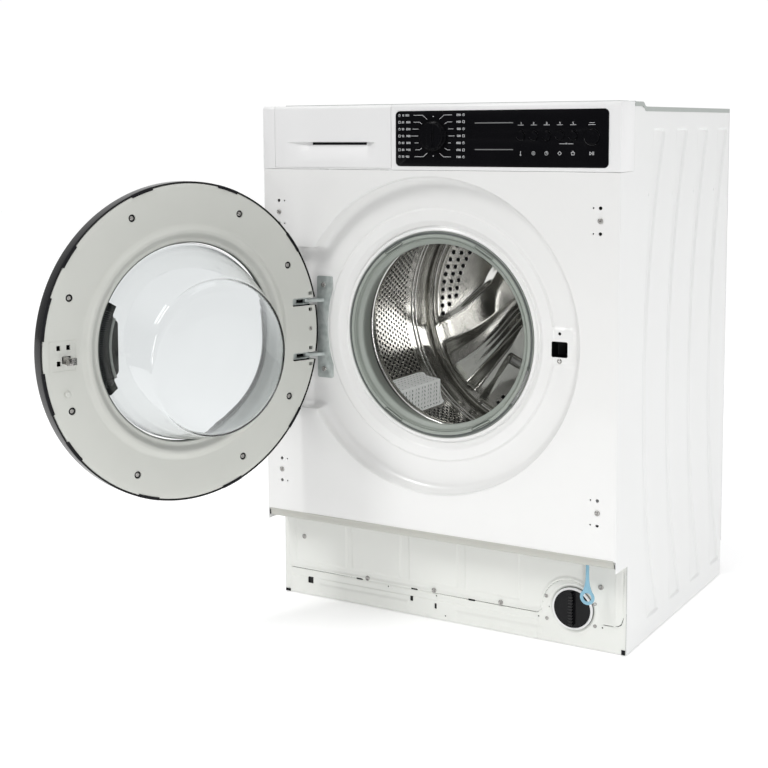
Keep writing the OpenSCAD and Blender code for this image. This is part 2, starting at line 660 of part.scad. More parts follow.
// Warm grey inner ring with the raised bead, screw seats and latch frame
module door_inner_ring() color("lightgray") swung() difference() {
    union() {
        on_axis() rotate_extrude() polygon(concat(inner_line, inner_back));
        difference() {
            block([latch_u - 20, face_y - e, lock_z - 19], [latch_u + 23, face_y + 1.2, lock_z + 27]);
            block([latch_u - 16, face_y - 1, lock_z - 15], [latch_u + 19, face_y + 2, lock_z + 23]);
        }
        for (a = screw_angles) at_polar(a, screw_circle) rod(0, 0, 6, face_y - 9, face_y - 1);
        rod(latch_u - 2.8, door_z - 55, 4, face_y - 1, face_y + 1.5);
        for (s = [-1, 1]) block([latch_u - 8, face_y - 13, lock_z + s * 8.1 - 2.8], [latch_u + 8, face_y - 1, lock_z + s * 8.1 + 2.8]);
    }
    for (a = screw_angles) at_polar(a, screw_circle) {
        rod(0, 0, 2.1, face_y - 10, face_y + 2);
        rod(0, 0, 4.6, face_y - 2.6, face_y + 2);
    }
    for (s = [-1, 1]) {
        block([-door_r - 1, pin_y - 6, door_z + s * arm_z - 6.2], [pin_x + 36, face_y + 1, door_z + s * arm_z + 6.2]);
        for (c = [-1, 1]) block([pin_x - 0.8, 0, door_z + s * arm_z + c * 12.5 - 2.5], [pin_x + 5.2, face_y + 1, door_z + s * arm_z + c * 12.5 + 2.5]);
        for (u = [latch_u - 6, latch_u + 9]) block([u - 2.5, face_y - 5, lock_z + s * 11 + 4], [u + 2.5, face_y + 2, lock_z + s * 11 + 9]);
    }
    block([latch_u - 10, face_y - 14, lock_z - 5.3], [latch_u + 4, face_y + 2, lock_z + 5.3]);
    for (s = [-1, 1]) translate([latch_u, face_y - 6, lock_z + s * 6 - 2.5]) cylinder(r = 1.5 + run, h = 5);
}
screw_angles = [22.7, 64.3, 116.5, 150.3, -22.7, -64.3, -116.5, -150.3];
// Glass bowl: an oblique cup with a flange held between the rings
module door_glass() color([0.85, 0.92, 0.92, 0.4]) swung() {
    y0 = outer_y + 9 + 2.4 + gap;
    y1 = face_y + nose_reach;
    difference() {
        union() {
            hull() {
                axis_cylinder(glass_r, y0 + e, y0 + 3);
                rod(0, door_z - nose_drop, nose_r, y1 - 8, y1 - 5);
                rod(0, door_z - nose_drop, nose_r - 6, y1 - 3, y1);
            }
            axis_cylinder(glass_r + 8, y0, y0 + glass_t);
        }
        hull() {
            axis_cylinder(glass_r - glass_t, y0 - 1, y0 + 3);
            rod(0, door_z - nose_drop, nose_r - glass_t, y1 - 9, y1 - 8);
            rod(0, door_z - nose_drop, nose_r - glass_t - 6, y1 - 8, y1 - glass_t);
        }
    }
}
// Ribbed grip inside the ring on the free side
module door_handle_grip() color("black") swung() {
    r0 = 112;
    r1 = glass_r + 4 - gap;
    on_axis() rotate([0, 0, -29]) rotate_extrude(angle = 58)
        polygon([[r0, outer_y + 2], [r1, outer_y + 2], [r1, outer_y + 10], [r1 - 6, outer_y + 10.5], [r0 + 6, outer_y + 6], [r0, outer_y + 5]]);
    for (a = [-26:4:26]) on_axis() rotate([0, 0, a - 0.6]) rotate_extrude(angle = 1.2)
        polygon([[r0 + 3, outer_y + 3], [r1 - 8, outer_y + 3], [r1 - 8, outer_y + 11], [r0 + 8, outer_y + 7]]);
}
// Screws that hold the inner ring, with crossed drives
module door_screws() color("silver") swung() {
    for (a = screw_angles) at_polar(a, screw_circle) screw(face_y - 0.4, 1.9, 4.2, 2, 9);
    rod(-door_r + 15.4, door_z, 3.4, face_y, face_y + 1.6);
}
// Screw with its head's face at depth y; dir is the side that the shank lies on
module screw(y, head, head_r, shank_r, shank) difference() {
    union() {
        rod(0, 0, head_r, y - head, y);
        rod(0, 0, shank_r, y - head - shank, y - head + e);
    }
    block([-head_r * 0.6, y - 0.9, -0.6], [head_r * 0.6, y + 1, 0.6]);
    block([-0.6, y - 0.9, -head_r * 0.6], [0.6, y + 1, head_r * 0.6]);
}
// Screws in the front sheet, the hinge bracket and the plinth
module front_screws() color("silver") {
    for (s = [-1, 1]) translate([bracket_x, recess_d - gap - 2.5, door_z + s * 67]) facing_out(4.5, 2, 2.2, 2.2);
    translate([latch_u, plateau_y, lock_z - 17]) facing_out(3.6, 0.7, 0, 0);
    for (x = [-furniture_x, furniture_x], z = furniture_zs) translate([x, 0, z]) facing_out(3.6, 1.8, 0, 0);
    for (p = [[-259, 98, press_t], [-139, 46, 0], [-18, 46, 0], [97, 46, 0], [258, 96, 0]])
        translate([p[0], toe_d - p[2], p[1]]) facing_out(4, 2, 0, 0);
}
// Pan-head screw standing in front of the depth it is placed at
module facing_out(r, head, shank_r, shank) difference() {
    union() {
        rod(0, 0, r, -head, 0);
        if (shank > 0) rod(0, 0, shank_r, -e, shank);
    }
    deep = 0.45 * head;
    block([-r * 0.6, -head - 1, -0.5], [r * 0.6, deep - head, 0.5]);
    block([-0.5, -head - 1, -r * 0.6], [0.5, deep - head, r * 0.6]);
}

// Gasket between the front sheet and the tub: bead, inner lip and two folds
module door_gasket() color("darkseagreen") {
    f = throat_y - 5.5;
    n = tub_y;
    r = port_r - 3.3;
    on_axis() rotate_extrude() polygon([[r, f + 1.5], [r, f + 8.5], [r + 12.8, f + 8.5], [r + 15.8, f + 11.5],
        [r + 15.8, f + 18.5], [r + 12.8, f + 21.5], [r + 7.8, f + 22], [r + 7.8, f + 24.5], [r + 12.8, f + 25],
        [r + 15.8, f + 28], [r + 15.8, n - 14], [r + 12.8, n - 11], [r + 5.4, n - 11], [r + 5.4, n - 4], [r + 1.7, n - 4],
        [r + 1.7, n - 14.5], [r + 10.8, n - 14.5], [r + 12.3, n - 16], [r + 12.3, n - 18], [r + 10.8, n - 19.3],
        [r + 4.3, n - 19.3], [r + 4.3, f + 18.5], [r + 10.8, f + 18], [r + 12.3, f + 16.5],
        [r + 12.3, f + 13.5], [r + 10.8, f + 12],
        [r - 3.5, f + 12], [r - 13.7, f + 13], [mouth_r + 0.5, n], [mouth_r - 3, n],
        [r - 18.9, f + 15.5], [r - 19.2, f + 12.5], [r - 18, f + 9.5], [r - 12.2, f + 7],
        [r - 11.2, f + 1.5], [r - 9.2, f], [r - 1.7, f]]);
}
// Wire ring that holds the gasket's bead
module gasket_clamp() color("silver") {
    y = throat_y - 5.5 - gap - 1.2;
    on_axis() rotate_extrude() translate([port_r - 6, y]) circle(1.2, $fn = 16);
}

// Tub, drum and drive

// Ears for the springs, cut back to the tub's wall
module spring_ear(y) for (s = [-1, 1])
    block([s > 0 ? tub_out - 40 : -ear_x - 8, y - 9, ear_z - 8], [s > 0 ? ear_x + 8 : -tub_out + 40, y + 9, ear_z]);
module tub_front() color("lightgray") difference() {
    union() {
        on_axis() rotate_extrude() polygon([[port_r - 5.5, tub_y - 14], [port_r - 1.9, tub_y - 14], [port_r - 1.9, tub_y],
            [tub_out - 5, tub_y], [tub_out, tub_y + 5], [tub_out, tub_split - 5], [tub_out + 6, tub_split - 4],
            [tub_out + 6, tub_split], [tub_r, tub_split], [tub_r, tub_y + 7], [tub_r - 4, tub_y + tub_t],
            [port_r - 5.5, tub_y + tub_t]]);
        spring_ear(ear_ys[0]);
    }
    axis_cylinder(tub_r, tub_y + 7, tub_split + 1);
}
module tub_rear() color("lightgray") difference() {
    y0 = tub_split + gap;
    union() {
        on_axis() rotate_extrude() polygon([[bearing_r, tub_back - 14], [bearing_r + 5, tub_back - 14],
            [bearing_r + 5, tub_back], [tub_r - 3, tub_back], [tub_r, tub_back - 3], [tub_r, y0],
            [tub_out + 6, y0], [tub_out + 6, y0 + 4], [tub_out, y0 + 5], [tub_out, tub_back - 1],
            [tub_out - 4, tub_back + tub_t], [bearing_r + 9, tub_back + tub_t],
            [bearing_r + 9, tub_back + 25], [bearing_r, tub_back + 25]]);
        for (a = [15:30:345]) on_axis() rotate([0, 0, a])
            translate([bearing_r + 8, -1.5, tub_back + tub_t - e]) cube([tub_r - bearing_r - 14, 3, 7]);
        spring_ear(ear_ys[1]);
        for (s = [-1, 1]) block([s * damper_x - 9, damper_y - 9, damper_top], [s * damper_x + 9, damper_y + 9, damper_top + 24]);
        block([-60, sump_y0, sump_z], [60, sump_y1, door_z - tub_r + 12]);
    }
    axis_cylinder(tub_r, y0 - 1, tub_back - 3);
    block([-57, sump_y0 + 3, sump_z + 3], [57, sump_y1 - 3, door_z - tub_r + 13]);
}
sump_z = door_z - tub_out - 26;
damper_top = door_z - sqrt(tub_out * tub_out - damper_x * damper_x) - 14;
// Concrete blocks on top of the tub and on its front
module counterweight_top() color("darkgray") difference() {
    round_block([-45, tub_y + 36, door_z + tub_out - 40], [165, tub_y + 166, door_z + tub_out + weight_top], 12);
    axis_cylinder(tub_out + gap, tub_y, tub_back);
    axis_cylinder(tub_out + 6 + gap, tub_split - 5, tub_split + 6);
}
module counterweight_front() color("darkgray") for (a = [22, 202])
    on_axis() rotate([0, 0, -a - 136]) rotate_extrude(angle = 136)
        polygon([[port_r + 16.5, tub_y - 28], [tub_r - 6, tub_y - 28], [tub_r - 2, tub_y - 24],
            [tub_r - 2, tub_y - gap], [port_r + 16.5, tub_y - gap]]);

// Drum sheet with two rolled beads
module drum_wrapper() color("silver") {
    y0 = drum_y + 10;
    y1 = drum_back_y - gap;
    bead_y = drum_y + 0.76 * drum_l;
    on_axis() rotate_extrude() polygon(concat([[drum_r, y0]], drum_bead(drum_r, bead_y), drum_bead(drum_r, bead_y + 12),
        [[drum_r, y1], [drum_r + drum_t, y1]], reverse(drum_bead(drum_r + drum_t, bead_y + 12)),
        reverse(drum_bead(drum_r + drum_t, bead_y)), [[drum_r + drum_t, y0]]));
}
function drum_bead(r, y) = [for (a = [180:30:360]) [r - 2.5 * sin(a), y + 4 * cos(a)]];
function reverse(v) = [for (i = [len(v) - 1:-1:0]) v[i]];
// Drum front with its rolled mouth
module drum_front() color("silver") on_axis() rotate_extrude() polygon([
    [mouth_r, drum_y + 9], [mouth_r, drum_y + 3], [mouth_r + 3, drum_y], [mouth_r + 12, drum_y],
    [drum_r - 20, drum_y + 2], [drum_r - 4, drum_y + 5], [drum_r, drum_y + 9.7], [drum_r + drum_t, drum_y + 9.7],
    [drum_r - 3, drum_y + 4], [drum_r - 20, drum_y + 1], [mouth_r + 12, drum_y - 1], [mouth_r + 2.6, drum_y - 1],
    [mouth_r - 1, drum_y + 2.6], [mouth_r - 1, drum_y + 9]]);
// Dished drum back with three raised swirls and groups of holes
module drum_back() color("silver") difference() {
    y = drum_back_y;
    union() {
        on_axis() rotate_extrude() polygon([[shaft_r + 3, y - dish], [drum_r - 44, y - dish], [drum_r - 16, y - 4], [drum_r - gap, y - 4],
            [drum_r - gap, y - 3], [drum_r - 16.5, y - 3], [drum_r - 44.5, y - dish + 1], [shaft_r + 3, y - dish + 1]]);
        for (k = [0:2]) on_axis() rotate([0, 0, 120 * k]) swirl(y - dish);
    }
    on_axis() translate([0, 0, y - dish + e]) difference() {
        cylinder(r = drum_r - 46, h = 40);
        translate([0, 0, -1]) cylinder(r = e, h = 1);
    }
    for (k = [0:2], i = [0:4], j = [0:2]) on_axis() rotate([0, 0, 120 * k + 38 + 9 * i])
        translate([118 + 18 * j, 0, y - dish - 5]) cylinder(r = 3.4, h = 12, $fn = 24);
}
// One swirl: a ridge that curves out from the hub
module swirl(y) intersection() {
    translate([78, -64, y]) rotate([0, 0, 20]) rotate_extrude(angle = 118)
        translate([78, 0]) polygon([[-20, 0.5], [-13, -6], [13, -6], [20, 0.5]]);
    translate([0, 0, y - 24]) cylinder(r = drum_r - 50, h = 24 + e);
}
// Line of a lifter's crest, as radius and distance along the drum, d inside its skin
function crest(d) = let(r = drum_r - lifter_h + d, l = lifter_l) concat([[drum_r + d, d], [r + 16, d]],
    [for (i = [0:12]) [r + 2 - 2 * cos(90 * i), 22 + (l - 44) * i / 12]],
    [[r + 16, l - d], [drum_r + d, l - d]]);
lifter_l = drum_l - dish - lifter_y - lifter_end;
// Hollow plastic lifters riveted inside the drum, each with a waved crest
module drum_lifters() color("gainsboro") for (a = lifter_angles) on_axis() rotate([0, 0, -a])
    translate([0, 0, drum_y + lifter_y]) difference() {
        lifter_skin(0, drum_r - gap);
        lifter_skin(2.5, drum_r + 1);
    }
// A lifter's outline d inside its skin, out to the radius r
module lifter_skin(d, r) intersection() {
    translate([0, 0, d]) linear_extrude(lifter_l - 2 * d) polygon(concat([[drum_r + 1, lifter_half - 2.4 * d]],
        arc([drum_r - lifter_h + 11 - d * 0.2, 0], 11 - 1.2 * d, 125, 235, 4), [[drum_r + 1, 2.4 * d - lifter_half]]));
    rotate_extrude() polygon(crest(d));
    cylinder(r = r, h = lifter_l + 1);
}
// Cast spider that carries the drum on its shaft
module drum_spider() color("gray") {
    y0 = drum_back_y - dish + 1 + gap;
    difference() {
        union() {
            rod(0, door_z, 34, y0, y0 + 14);
            for (k = [0:2]) on_axis() rotate([0, 0, 120 * k + 60]) translate([20, -13, y0]) cube([drum_r - 88, 26, 14]);
            for (k = [0:2]) on_axis() rotate([0, 0, 120 * k + 60]) translate([drum_r - 70, -13, drum_back_y - 3 + gap]) cube([64, 26, 5.5]);
            for (k = [0:2]) on_axis() rotate([0, 0, 120 * k + 60]) translate([drum_r - 74, -13, y0]) cube([24, 26, drum_back_y - y0 + 2.5]);
        }
        axis_cylinder(shaft_r + e, y0 - 1, y0 + 20);
        on_axis() rotate_extrude() polygon([[drum_r - 44.2, drum_back_y - dish], [drum_r - 16.2, drum_back_y - 3 + gap], [drum_r + 20, drum_back_y - 3 + gap], [drum_r + 20, drum_back_y - dish]]);
    }
}
// Shaft through both bearings
module drum_shaft() color("silver") {
    axis_cylinder(shaft_r, drum_back_y - dish + 1 + gap, pulley_y + pulley_w + 6);
    axis_cylinder(shaft_r + 5, pulley_y + pulley_w + gap, pulley_y + pulley_w + 5);
}
module drum_bearings() color("lightsteelblue") for (y = [tub_back - 14, tub_back + 13]) difference() {
    axis_cylinder(bearing_r - run, y, y + 12);
    axis_cylinder(shaft_r + run, y - 1, y + 13);
}
// Spoked belt pulley on the rear end of the shaft
module drum_pulley() color("darkgray") difference() {
    axis_cylinder(pulley_r, pulley_y, pulley_y + pulley_w);
    axis_cylinder(shaft_r + e, pulley_y - 1, pulley_y + pulley_w + 1);
    difference() {
        axis_cylinder(pulley_r - 7, pulley_y - 1, pulley_y + pulley_w + 1);
        axis_cylinder(30, pulley_y - 2, pulley_y + pulley_w + 2);
        for (a = [0:60:300]) on_axis() rotate([0, 0, a]) translate([0, -7, pulley_y]) cube([pulley_r, 14, pulley_w - 4]);
    }
}
// Flat belt round both pulleys
module drive_belt() color("black") difference() {
    hull() {
        axis_cylinder(pulley_r + 2.7, pulley_y + 1, pulley_y + pulley_w - 1);
        rod(-motor_x, motor_z, motor_pulley_r + 2.7, pulley_y + 1, pulley_y + pulley_w - 1);
    }
    hull() {
        axis_cylinder(pulley_r + 0.6, pulley_y, pulley_y + pulley_w);
        rod(-motor_x, motor_z, motor_pulley_r + 0.6, pulley_y, pulley_y + pulley_w);
    }
}
// Motor casing with end caps and the two lugs that hang it from the tub
module motor() color("dimgray") difference() {
    union() {
        rod(-motor_x, motor_z, motor_r, motor_y + 16, motor_y + motor_l - 16);
        rod(-motor_x, motor_z, motor_r - 5, motor_y, motor_y + motor_l);
        rod(-motor_x, motor_z, 20, motor_y - 6, motor_y + motor_l + 6);
        difference() {
            for (y = [motor_y + 20, motor_y + motor_l - 32])
                block([-motor_x - 15, y, motor_z + motor_r - 20], [-motor_x + 15, y + 12, door_z - tub_out + 91]);
            axis_cylinder(tub_out + gap, motor_y, motor_y + motor_l);
        }
    }
    rod(-motor_x, motor_z, 7 + run, motor_y - 7, motor_y + motor_l + 7);
}
module motor_pulley() color("silver") {
    rod(-motor_x, motor_z, 7, motor_y - 4, pulley_y + pulley_w);
    rod(-motor_x, motor_z, motor_pulley_r, pulley_y - 1, pulley_y + pulley_w + 1);
}

// Springs between the side panels' flanges and the tub's ears
module suspension_springs() color("slategray") for (s = [-1, 1], y = ear_ys) translate([s * ear_x, y, 0]) {
    top = plate_z - sheet_t - 2 * gap;
    translate([0, 0, ear_z + 22]) cylinder(r = 8, h = top - ear_z - 60);
    translate([0, 0, ear_z + gap]) cylinder(r = 2, h = 23);
    translate([0, 0, top - 39]) cylinder(r = 2, h = 39);
}
// Dampers: a cylinder on the base frame and a rod below the tub
module damper_cylinders() color("black") for (s = [-1, 1]) translate([s * damper_x, damper_y, 0]) difference() {
    translate([0, 0, 6 + gap]) cylinder(r = 11, h = 126);
    translate([0, 0, 40]) cylinder(r = 5 + run, h = 100);
}
module damper_rods() color("silver") for (s = [-1, 1]) translate([s * damper_x, damper_y, 100])
    cylinder(r = 5, h = damper_top - gap - 100);
// Heater loop in the tub's sump
module heater() color("dimgray") {
    z = sump_z + 12;
    for (x = [-30, 30]) rod(x, z, 4, sump_y0 + 40, sump_y1 - 4 - gap);
    translate([0, sump_y0 + 40, z]) difference() {
        rotate_extrude() translate([30, 0]) circle(4, $fn = 24);
        block([-40, 0, -5], [40, 40, 5]);
    }
    block([-45, sump_y1 - 5.5, z - 7], [45, sump_y1 - 3 - gap, z + 9]);
}

// Pump, filter and the emergency release

// Pump body with the bored neck that takes the filter cap
module pump_housing() color("dimgray") difference() {
    union() {
        rod(filter_x, filter_z, filter_r + 3.2, toe_d - 3, 130);
        rod(filter_x, filter_z, pump_r, 60, 124);
        rod(filter_x - 20, filter_z, 22, 124, 165);
        translate([filter_x, 100, filter_z + 20]) cylinder(r = 13, h = 40);
    }
    rod(filter_x, filter_z, filter_r + run, toe_d - 4, 120);
}
// Filter cap with a grip rib and its lint basket
module filter_cap() color("black") {
    y = toe_d - 1;
    rod(filter_x, filter_z, filter_r, y - 3, y + 12);
    rod(filter_x, filter_z, filter_r - 8, y + 11, 110);
    intersection() {
        round_block([filter_x - 3, y - 10, filter_z - filter_r + 3], [filter_x + 3, y - 2, filter_z + filter_r - 3], 2.5);
        rod(filter_x, filter_z, filter_r - 2, y - 12, y);
    }
}
// Strap and ring that release a locked door
module release_pull() color("lightskyblue") {
    x = strap_x;
    y = fold_d + sheet_t + gap;
    z = 88;
    block([x - 4, y, z + 9], [x + 4, y + 1.6, toe_h + 60]);
    translate([x, y, z]) along_y() difference() {
        cylinder(r = 12, h = 1.6);
        translate([0, 0, -1]) cylinder(r = 7.5, h = 4);
    }
}

// Rear connections

// Inlet valve with the threaded pipe end through the rear sheet
module inlet_valve() color("white") {
    rod(inlet_x, inlet_z, inlet_r, cab_d - e, cab_d + inlet_l);
    rod(inlet_x, inlet_z, inlet_r + 0.5, rear_y - 10, cab_d);
    rod(inlet_x, inlet_z, inlet_r + 5, rear_y - 10, rear_y - gap);
    block([inlet_x - 18, rear_y - 52, inlet_z - 22], [inlet_x + 18, rear_y - 9, inlet_z + 14]);
}
// Drain spout and cable gland through the rear sheet
module drain_outlet() color("gray") {
    difference() {
        union() {
            rod(-inlet_x, inlet_z, drain_r, cab_d - e, cab_d + drain_l);
            rod(-inlet_x, inlet_z, drain_r + 0.5, rear_y - 12, cab_d);
            rod(-inlet_x, inlet_z, drain_r + 5, rear_y - 6, rear_y - gap);
        }
        rod(-inlet_x, inlet_z, drain_r - 4, rear_y - 2, cab_d + 17);
    }
    rod(-inlet_x + 60, inlet_z, gland_r, rear_y - 12, cab_d + 8);
    rod(-inlet_x + 60, inlet_z, gland_r + 3, rear_y - 6, rear_y - gap);
}

// Feet

// Foot pad with its screw, wound in flush with the base frame
module foot(x, y) color("black") translate([x, y, 0]) {
    cylinder(r = foot_r, h = foot_pad);
    cylinder(r = foot_screw_r, h = base_h - 4);
}

// Moves the model so that the origin is at floor level in the cabinet's middle
module placed() translate([0, -cab_d / 2, 0]) children();

placed() side_panel_left();
placed() side_panel_right();
placed() rear_panel();
placed() rear_access_cover();
placed() base_frame();
placed() front_panel();
placed() plinth_panel();
placed() top_plate();
placed() control_fascia();
placed() display_window();
placed() dispenser_housing();
placed() drawer_front();
placed() drawer_tray();
placed() hinge_bracket();
placed() hinge_arms();
placed() lock_housing();
placed() latch_hook();
placed() door_outer_ring();
placed() door_inner_ring();
placed() door_glass();
placed() door_handle_grip();
placed() door_screws();
placed() front_screws();
placed() door_gasket();
placed() gasket_clamp();
placed() tub_front();
placed() tub_rear();
placed() counterweight_top();
placed() counterweight_front();
placed() drum_wrapper();
placed() drum_front();
placed() drum_back();
placed() drum_lifters();
placed() drum_spider();
placed() drum_shaft();
placed() drum_pulley();
placed() drive_belt();
placed() motor();
placed() motor_pulley();
placed() drum_bearings();
placed() suspension_springs();
placed() damper_cylinders();
placed() damper_rods();
placed() heater();
placed() pump_housing();
placed() filter_cap();
placed() release_pull();
placed() inlet_valve();
placed() drain_outlet();
placed() program_knob();
placed() option_button(0);  // option_button_1
placed() option_button(1);  // option_button_2
placed() option_button(2);  // option_button_3
placed() option_button(3);  // option_button_4
placed() option_button(4);  // option_button_5
placed() start_button();
placed() foot(-foot_x, foot_ys[0]);  // foot_front_left
placed() foot(foot_x, foot_ys[0]);  // foot_front_right
placed() foot(-foot_x, foot_ys[1]);  // foot_rear_left
placed() foot(foot_x, foot_ys[1]);  // foot_rear_right
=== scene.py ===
# %% [markdown]
# A built-in front-loading washing machine stands with its round door open.
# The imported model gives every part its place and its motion, so this lesson
# loads it and then dresses each part: enamel, rubber, glass, steel.

# %% Load the frame
import json
from math import atan2, cos, degrees, exp, hypot, log, pi, radians, sin, sqrt, tau

import bmesh
import bpy
from mathutils import Matrix, Vector

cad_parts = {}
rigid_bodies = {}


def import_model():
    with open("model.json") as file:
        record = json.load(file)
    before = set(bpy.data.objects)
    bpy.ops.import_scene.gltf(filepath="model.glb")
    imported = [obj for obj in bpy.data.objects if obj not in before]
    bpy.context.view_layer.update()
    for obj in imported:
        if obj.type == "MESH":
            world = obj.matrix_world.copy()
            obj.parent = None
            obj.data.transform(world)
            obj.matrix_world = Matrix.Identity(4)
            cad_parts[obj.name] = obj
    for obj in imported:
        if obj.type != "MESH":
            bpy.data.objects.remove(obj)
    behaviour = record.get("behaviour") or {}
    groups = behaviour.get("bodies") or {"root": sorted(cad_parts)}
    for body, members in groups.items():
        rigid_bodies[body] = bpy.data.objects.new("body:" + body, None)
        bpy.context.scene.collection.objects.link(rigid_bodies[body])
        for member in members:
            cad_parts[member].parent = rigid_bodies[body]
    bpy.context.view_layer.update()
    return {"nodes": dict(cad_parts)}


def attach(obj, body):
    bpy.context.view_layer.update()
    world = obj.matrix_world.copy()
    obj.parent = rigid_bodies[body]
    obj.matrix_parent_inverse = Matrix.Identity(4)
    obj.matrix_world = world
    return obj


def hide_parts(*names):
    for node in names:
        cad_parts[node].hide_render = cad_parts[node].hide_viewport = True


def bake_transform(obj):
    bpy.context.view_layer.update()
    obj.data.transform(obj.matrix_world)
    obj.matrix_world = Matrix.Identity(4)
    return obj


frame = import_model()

# %% [markdown]
# The machine is drawn in millimetres from the middle of the front sheet at
# floor level: x to the right, y to the rear, z up. A shape is a pair of points
# and faces, and only the functions that make meshes convert to metres. The
# camera, the lights and the floor are placed in metres.

# %% Places shared by the pieces
MM = 0.001
FRONT = -247.5
AXIS_Z = 452.5
PIN = (-224.2, 4.2)
OPEN = radians(-111)
LATCH_Z = 446.0
HALF_WIDTH = 298.5
OUTWARD = (0, -1, 0)
print("the door stands open by", round(-degrees(OPEN)), "degrees")


def metres(points):
    """Points in millimetres from the front sheet, as metres in the model's frame."""
    return [Vector((x * MM, (y + FRONT) * MM, z * MM)) for x, y, z in points]


def doorwise(x, y, z):
    """A direction drawn for the closed door, turned to where it stands open."""
    return cos(OPEN) * x - sin(OPEN) * y, sin(OPEN) * x + cos(OPEN) * y, z


def opened(points):
    """Points drawn for the closed door, turned about the hinge pin to where it stands."""
    c, s = cos(OPEN), sin(OPEN)
    moved = []
    for x, y, z in points:
        dx, dy = x - PIN[0], y - PIN[1]
        moved.append((PIN[0] + c * dx - s * dy, PIN[1] + s * dx + c * dy, z))
    return moved


def polar(radius, y, angle, drop=0.0):
    """A point at a radius and an angle about the door's axis."""
    return radius * cos(angle), y, AXIS_Z - drop + radius * sin(angle)


def circle(radius, sides):
    """Points of a circle about zero."""
    return [(radius * cos(tau * k / sides), radius * sin(tau * k / sides)) for k in range(sides)]


def arc_points(centre, radius, start, end, count=6):
    """Points of an arc in a profile, angles in degrees."""
    turns = [radians(start + (end - start) * i / count) for i in range(count + 1)]
    return [(centre[0] + radius * cos(a), centre[1] + radius * sin(a)) for a in turns]


def ease(value, low, high):
    """0 below low, 1 above high, and a smooth step between."""
    t = min(1.0, max(0.0, (value - low) / (high - low)))
    return t * t * (3 - 2 * t)


# %% [markdown]
# Paint, rubber and steel are never one flat value. Three small shader groups
# give the variation that all finishes share: a soft mottle, a fine grain drawn
# out along one direction, and a mask for worn edges.

# %% Shader groups
def wired(tree, kinds, values, links):
    """Adds named nodes to a tree, sets their inputs and links their sockets.

    Sockets are written as node.Label or, where labels repeat, as node.number. A label in lower
    case is a property of the node.
    """
    nodes = {name: tree.nodes.get(kind) or tree.nodes.new(kind) for name, kind in kinds.items()}
    for place, value in values.items():
        name, label = place.split(".")
        if label[0].islower():
            setattr(nodes[name], label, value)
        else:
            nodes[name].inputs[label].default_value = value
    for source, target in (link.split(" > ") for link in links):
        (name, label), (end, socket) = source.split("."), target.split(".")
        socket = int(socket) if socket.isdigit() else socket
        tree.links.new(nodes[name].outputs[label], nodes[end].inputs[socket])


def shader_group(title, given, results, kinds, values, links):
    """A shader group with named inputs and outputs round its wired nodes."""
    group = bpy.data.node_groups.new(title, "ShaderNodeTree")
    for label, value in given.items():
        kind = "NodeSocketVector" if isinstance(value, tuple) else "NodeSocketFloat"
        group.interface.new_socket(name=label, in_out="INPUT", socket_type=kind).default_value = value
    for label in results:
        group.interface.new_socket(name=label, in_out="OUTPUT", socket_type="NodeSocketFloat")
    wired(group, {"given": "NodeGroupInput", "result": "NodeGroupOutput", **kinds}, values, links)
    return group


MOTTLE = shader_group(
    "enamel_mottle", {"Cloud Scale": 18.0, "Peel Scale": 900.0}, ["Mask", "Height"],
    {"place": "ShaderNodeTexCoord", "cloud": "ShaderNodeTexNoise", "peel": "ShaderNodeTexNoise"},
    {"cloud.Detail": 5, "peel.Detail": 2},
    ["place.Object > cloud.Vector", "given.Cloud Scale > cloud.Scale", "cloud.Fac > result.Mask",
     "place.Object > peel.Vector", "given.Peel Scale > peel.Scale", "peel.Fac > result.Height"])
GRAIN = shader_group(
    "drawn_grain", {"Stretch": (40.0, 900.0, 40.0), "Detail": 3.0}, ["Mask", "Height"],
    {"place": "ShaderNodeTexCoord", "stretch": "ShaderNodeMapping", "lines": "ShaderNodeTexNoise",
     "sharp": "ShaderNodeMapRange"},
    {"lines.Scale": 1, "sharp.From Min": 0.35, "sharp.From Max": 0.65},
    ["place.Object > stretch.Vector", "given.Stretch > stretch.Scale", "stretch.Vector > lines.Vector",
     "given.Detail > lines.Detail", "lines.Fac > sharp.Value", "sharp.Result > result.Mask",
     "lines.Fac > result.Height"])
WEAR = shader_group(
    "edge_wear", {"Start": 0.52, "End": 0.60, "Patch Scale": 60.0}, ["Mask"],
    {"shape": "ShaderNodeNewGeometry", "place": "ShaderNodeTexCoord", "patch": "ShaderNodeTexNoise",
     "edge": "ShaderNodeMapRange", "both": "ShaderNodeMath"},
    {"both.operation": "MULTIPLY"},
    ["shape.Pointiness > edge.Value", "given.Start > edge.From Min", "given.End > edge.From Max",
     "place.Object > patch.Vector", "given.Patch Scale > patch.Scale", "edge.Result > both.0",
     "patch.Fac > both.1", "both.Value > result.Mask"])
print("shader groups:", MOTTLE.name, GRAIN.name, WEAR.name)


# %% [markdown]
# One function mixes those groups into a finish: two tints that the clouds blend
# between, a range of roughness, and a height for the bump in millimetres.

